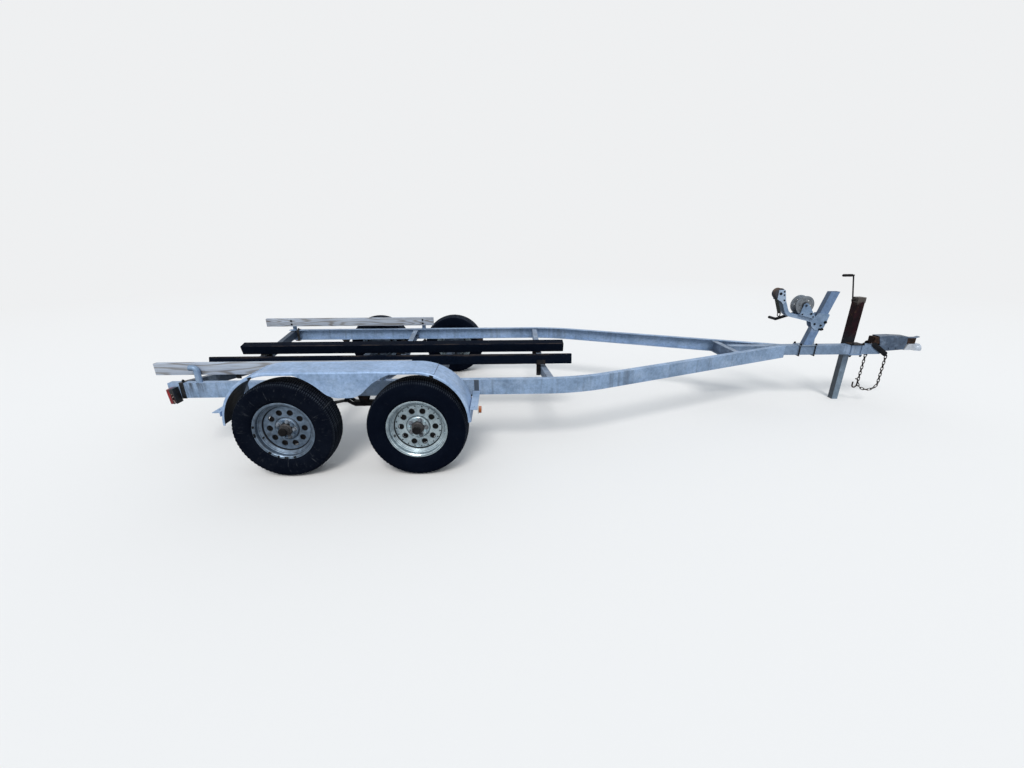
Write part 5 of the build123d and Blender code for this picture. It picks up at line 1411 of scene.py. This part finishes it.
POST_FOOT_BOLTS = [(x, side * U_BOLT_SIDE, 0.5904) for x in (3.8487, 3.9957) for side in SIDES]
REAR_RAIL_BOLTS = [(-1.290, side * 0.906, 0.5874) for side in SIDES]
MOUNT_TOP_BOLTS = [(x, -U_BOLT_SIDE, 0.5924) for x in (4.3497, 4.4497)]
MOUNT_BOTTOM_BOLTS = [(x, y, 0.4866) for x, y, _ in MOUNT_TOP_BOLTS]
# Upright bolts: places, 1 where they point up and -1 down, and size across the flats.
UPRIGHT_BOLTS = (
    (CLAMP_BOLTS, -1, 0.016), (POST_FOOT_BOLTS, 1, 0.016), (REAR_RAIL_BOLTS, 1, 0.015),
    (MOUNT_TOP_BOLTS, 1, 0.016), (MOUNT_BOTTOM_BOLTS, -1, 0.016))
# Bolts of the boards, which point inwards: side and x. Each place has one over the other.
BOARD_BOLTS = ((-1, -1.171), (-1, 0.150), (1, -1.330), (1, 0.130))
BOARD_BOLT_HEIGHTS = (0.655, 0.695)


def frame_bolts():
    """Place, way and size across the flats of every bolt that doesn't turn."""
    for side in SIDES:
        for places, away, way, size in CROSS_BOLTS:
            for x, z in places:
                yield at(x, side * away, z), Vector((0, side * way, 0)), size
    for places, way, size in UPRIGHT_BOLTS:
        for place in places:
            yield at(*place), Vector((0, 0, way)), size
    for side, x in BOARD_BOLTS:
        for z in BOARD_BOLT_HEIGHTS:
            yield at(x, side * BOARD_INNER, z), Vector((0, -side, 0)), 0.013


def add_bolts():
    pattern = make_bolt()
    bolts = [copy_of(pattern, "bolt", facing(*row)) for row in frame_bolts()]
    bpy.data.objects.remove(pattern)
    dress(joined(bolts, "frame_bolts"), "black_steel")


# Fender seams

SEAM_LEAN = atan2(0.122, 0.3387)
SEAM_Y = -1.1635            # middle of the fender's width
SEAM_TOP = 0.3600           # fender's outer face from the centre of its curve
SEAM_INNER, SEAM_OUTER = 0.1195, -0.1130
SEAM_HALF = 0.011
GAP_NEAR, GAP_FAR = 0.0112, 0.0134      # edges of the black strip in the gap, painted shade, from the strip's middle
FOLD = ((-0.013, -0.1232, 0.3400), (0.013, -0.1216, 0.3520))    # two corners of the folded edge
RIVETS = 6                  # in each of the strip's two rows
RIVET_START = -0.098
RIVET_STEP = 0.040


def make_rivet():
    """Round head with a flattened underside."""
    deselect()
    bpy.ops.mesh.primitive_uv_sphere_add(segments=12, ring_count=8, radius=0.0034)
    rivet = started("rivet")
    edit(rivet, "VERT")
    pick(rivet, "VERT", lambda point, _: point.z < -0.0001)
    bpy.ops.transform.resize(value=(1, 1, 0.3), center_override=ORIGIN)
    done()
    bpy.ops.object.shade_smooth()
    return rivet


def add_seams():
    """Lap strip with rivets at each seam of the fender, and a black strip in its gap and a black folded
    edge, both painted shade.
    """
    strips, seam_shade_pieces = [], []
    pattern = make_rivet()
    for way in SIDES:
        seam = Matrix.Translation(at(way * FENDER_ARC_X, SEAM_Y, FENDER_ARC_Z))
        seam = seam @ Matrix.Rotation(way * SEAM_LEAN, 4, "Y")
        strip = beam("lap", (-SEAM_HALF, SEAM_OUTER, SEAM_TOP + 0.0001),
                     (SEAM_HALF, SEAM_INNER, SEAM_TOP + 0.0017))
        soften(strip, 0.0006)
        near, far = sorted((GAP_NEAR * way, GAP_FAR * way))
        gap = beam("gap", (near, SEAM_OUTER, SEAM_TOP), (far, SEAM_INNER, SEAM_TOP + 0.0005))
        fold = beam("fold", *FOLD)
        soften(fold, 0.0005)
        for piece in (strip, gap, fold):
            piece.data.transform(seam)
        strips.append(strip)
        seam_shade_pieces += [gap, fold]
        for number in range(RIVETS):
            for x in (-SEAM_HALF / 2, SEAM_HALF / 2):
                y = RIVET_START + RIVET_STEP * number
                spot = Matrix.Translation((x, y, SEAM_TOP + 0.0015))
                strips.append(copy_of(pattern, "rivet", seam @ spot))
    bpy.data.objects.remove(pattern)
    dress(joined(strips, "fender_seams"), "fender")
    # painted shade: the strips in the gaps and the folded edges are black
    dress(joined(seam_shade_pieces, "fender_seam_shade"), "black_steel")


# Small front and rear pieces

DRUM_FACE = 0.0380
DRUM_RINGS = (0.0375, 0.0620, 0.0825)
DRUM_RING_BAR = 0.0017
# Bits of the broken lamp: x, z, lean in degrees and half length.
SHARDS = ((-1.335, 0.476, 25, 0.010), (-1.329, 0.497, -40, 0.013), (-1.334, 0.522, 65, 0.009),
          (-1.325, 0.463, 80, 0.011))
SHARD_SIDE = -0.9885
GRIP_AHEAD = 0.050          # grip's middle ahead of the jack crank's rear end
CRANK_BAR = 0.0075          # radius of the crank's handle
STRAP_FOOT = (3.6025, 0, 0.8900)
STRAP_RING = 0.0125
STRAP_RING_BAR = 0.0038     # radius of its bar
STRAP_RING_BELOW = 0.0085   # ring's middle below the strap's foot, before it is drawn out
STRAP_RING_DROP = 0.008     # how far its lower half is drawn down
STRAP_BAR = 0.0042          # cross bar's radius
STRAP_BAR_HALF = 0.026


def add_drum_rings():
    """Rings pressed in the winch drum's flange."""
    centre = Vector((DRUM_CENTRE.x, 0, DRUM_CENTRE.z))
    rings = [turned("ring", centre, sideways(bead_profile(DRUM_FACE, radius, DRUM_RING_BAR), -1), 64)
             for radius in DRUM_RINGS]
    dress(joined(rings, "drum_rings"), "drum", "winch_drum")


def add_jack_grip():
    """Black sleeve over the jack crank's handle."""
    low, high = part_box("jack_crank")
    half = [(0.020, 0.0128), (0.044, 0.0120), (0.046, 0.0095), (0.046, CENTRE_POINT)]
    profile = [(-y, r) for y, r in reversed(half)] + [(0.0, 0.0120)] + half
    grip = turned("jack_grip", ORIGIN, profile, 24)
    handle = Matrix.Translation((low.x + GRIP_AHEAD, high.y - CRANK_BAR, high.z - CRANK_BAR))
    grip.data.transform(handle @ Matrix.Rotation(pi / 2, 4, "Z"))
    dress(grip, "cap_black")


def add_lamp_shards():
    """Pale broken bits in the hole of the right tail lamp."""
    shards = []
    for x, z, lean, half in SHARDS:
        shard = beam("shard", (-half, -0.0012, -0.0025), (half, 0.0012, 0.0035))
        soften(shard, 0.0008, 1)
        place = Matrix.Translation(at(x, SHARD_SIDE, z))
        shard.data.transform(place @ Matrix.Rotation(radians(lean), 4, "Y"))
        shards.append(shard)
    dress(joined(shards, "lamp_shards"), "shards")


def add_strap_hook():
    """Long ring and cross bar at the foot of the bow strap."""
    foot = at(*STRAP_FOOT)
    ring_z = foot.z - STRAP_RING_BELOW
    deselect()
    bpy.ops.mesh.primitive_torus_add(
        major_segments=32, minor_segments=12, major_radius=STRAP_RING, minor_radius=STRAP_RING_BAR,
        location=(foot.x, 0, ring_z), rotation=(pi / 2, 0, 0))
    ring = started("strap_ring")
    edit(ring, "VERT")
    pick(ring, "VERT", lambda point, _: point.z < ring_z)
    bpy.ops.transform.translate(value=(0, 0, -STRAP_RING_DROP))
    done()
    bpy.ops.object.shade_smooth()
    ends = [foot + Vector((0, side * STRAP_BAR_HALF, 0.002)) for side in SIDES]
    bar = rod("strap_bar", *ends, STRAP_BAR, 16)
    dress(joined([ring, bar], "strap_hook"), "black_steel")


def main():
    add_camera()
    add_light()
    make_finishes()
    add_floor()
    dress_nodes()
    add_tyres()
    add_bunk("bunk_right", -1)
    add_bunk("bunk_left", 1)
    add_board("board_right")
    add_board("board_left")
    add_chain()
    add_roller()
    add_wheel_fittings()
    add_bolts()
    add_seams()
    add_drum_rings()
    add_jack_grip()
    add_lamp_shards()
    add_strap_hook()
    bpy.context.scene.view_settings.view_transform = "Standard"


main()
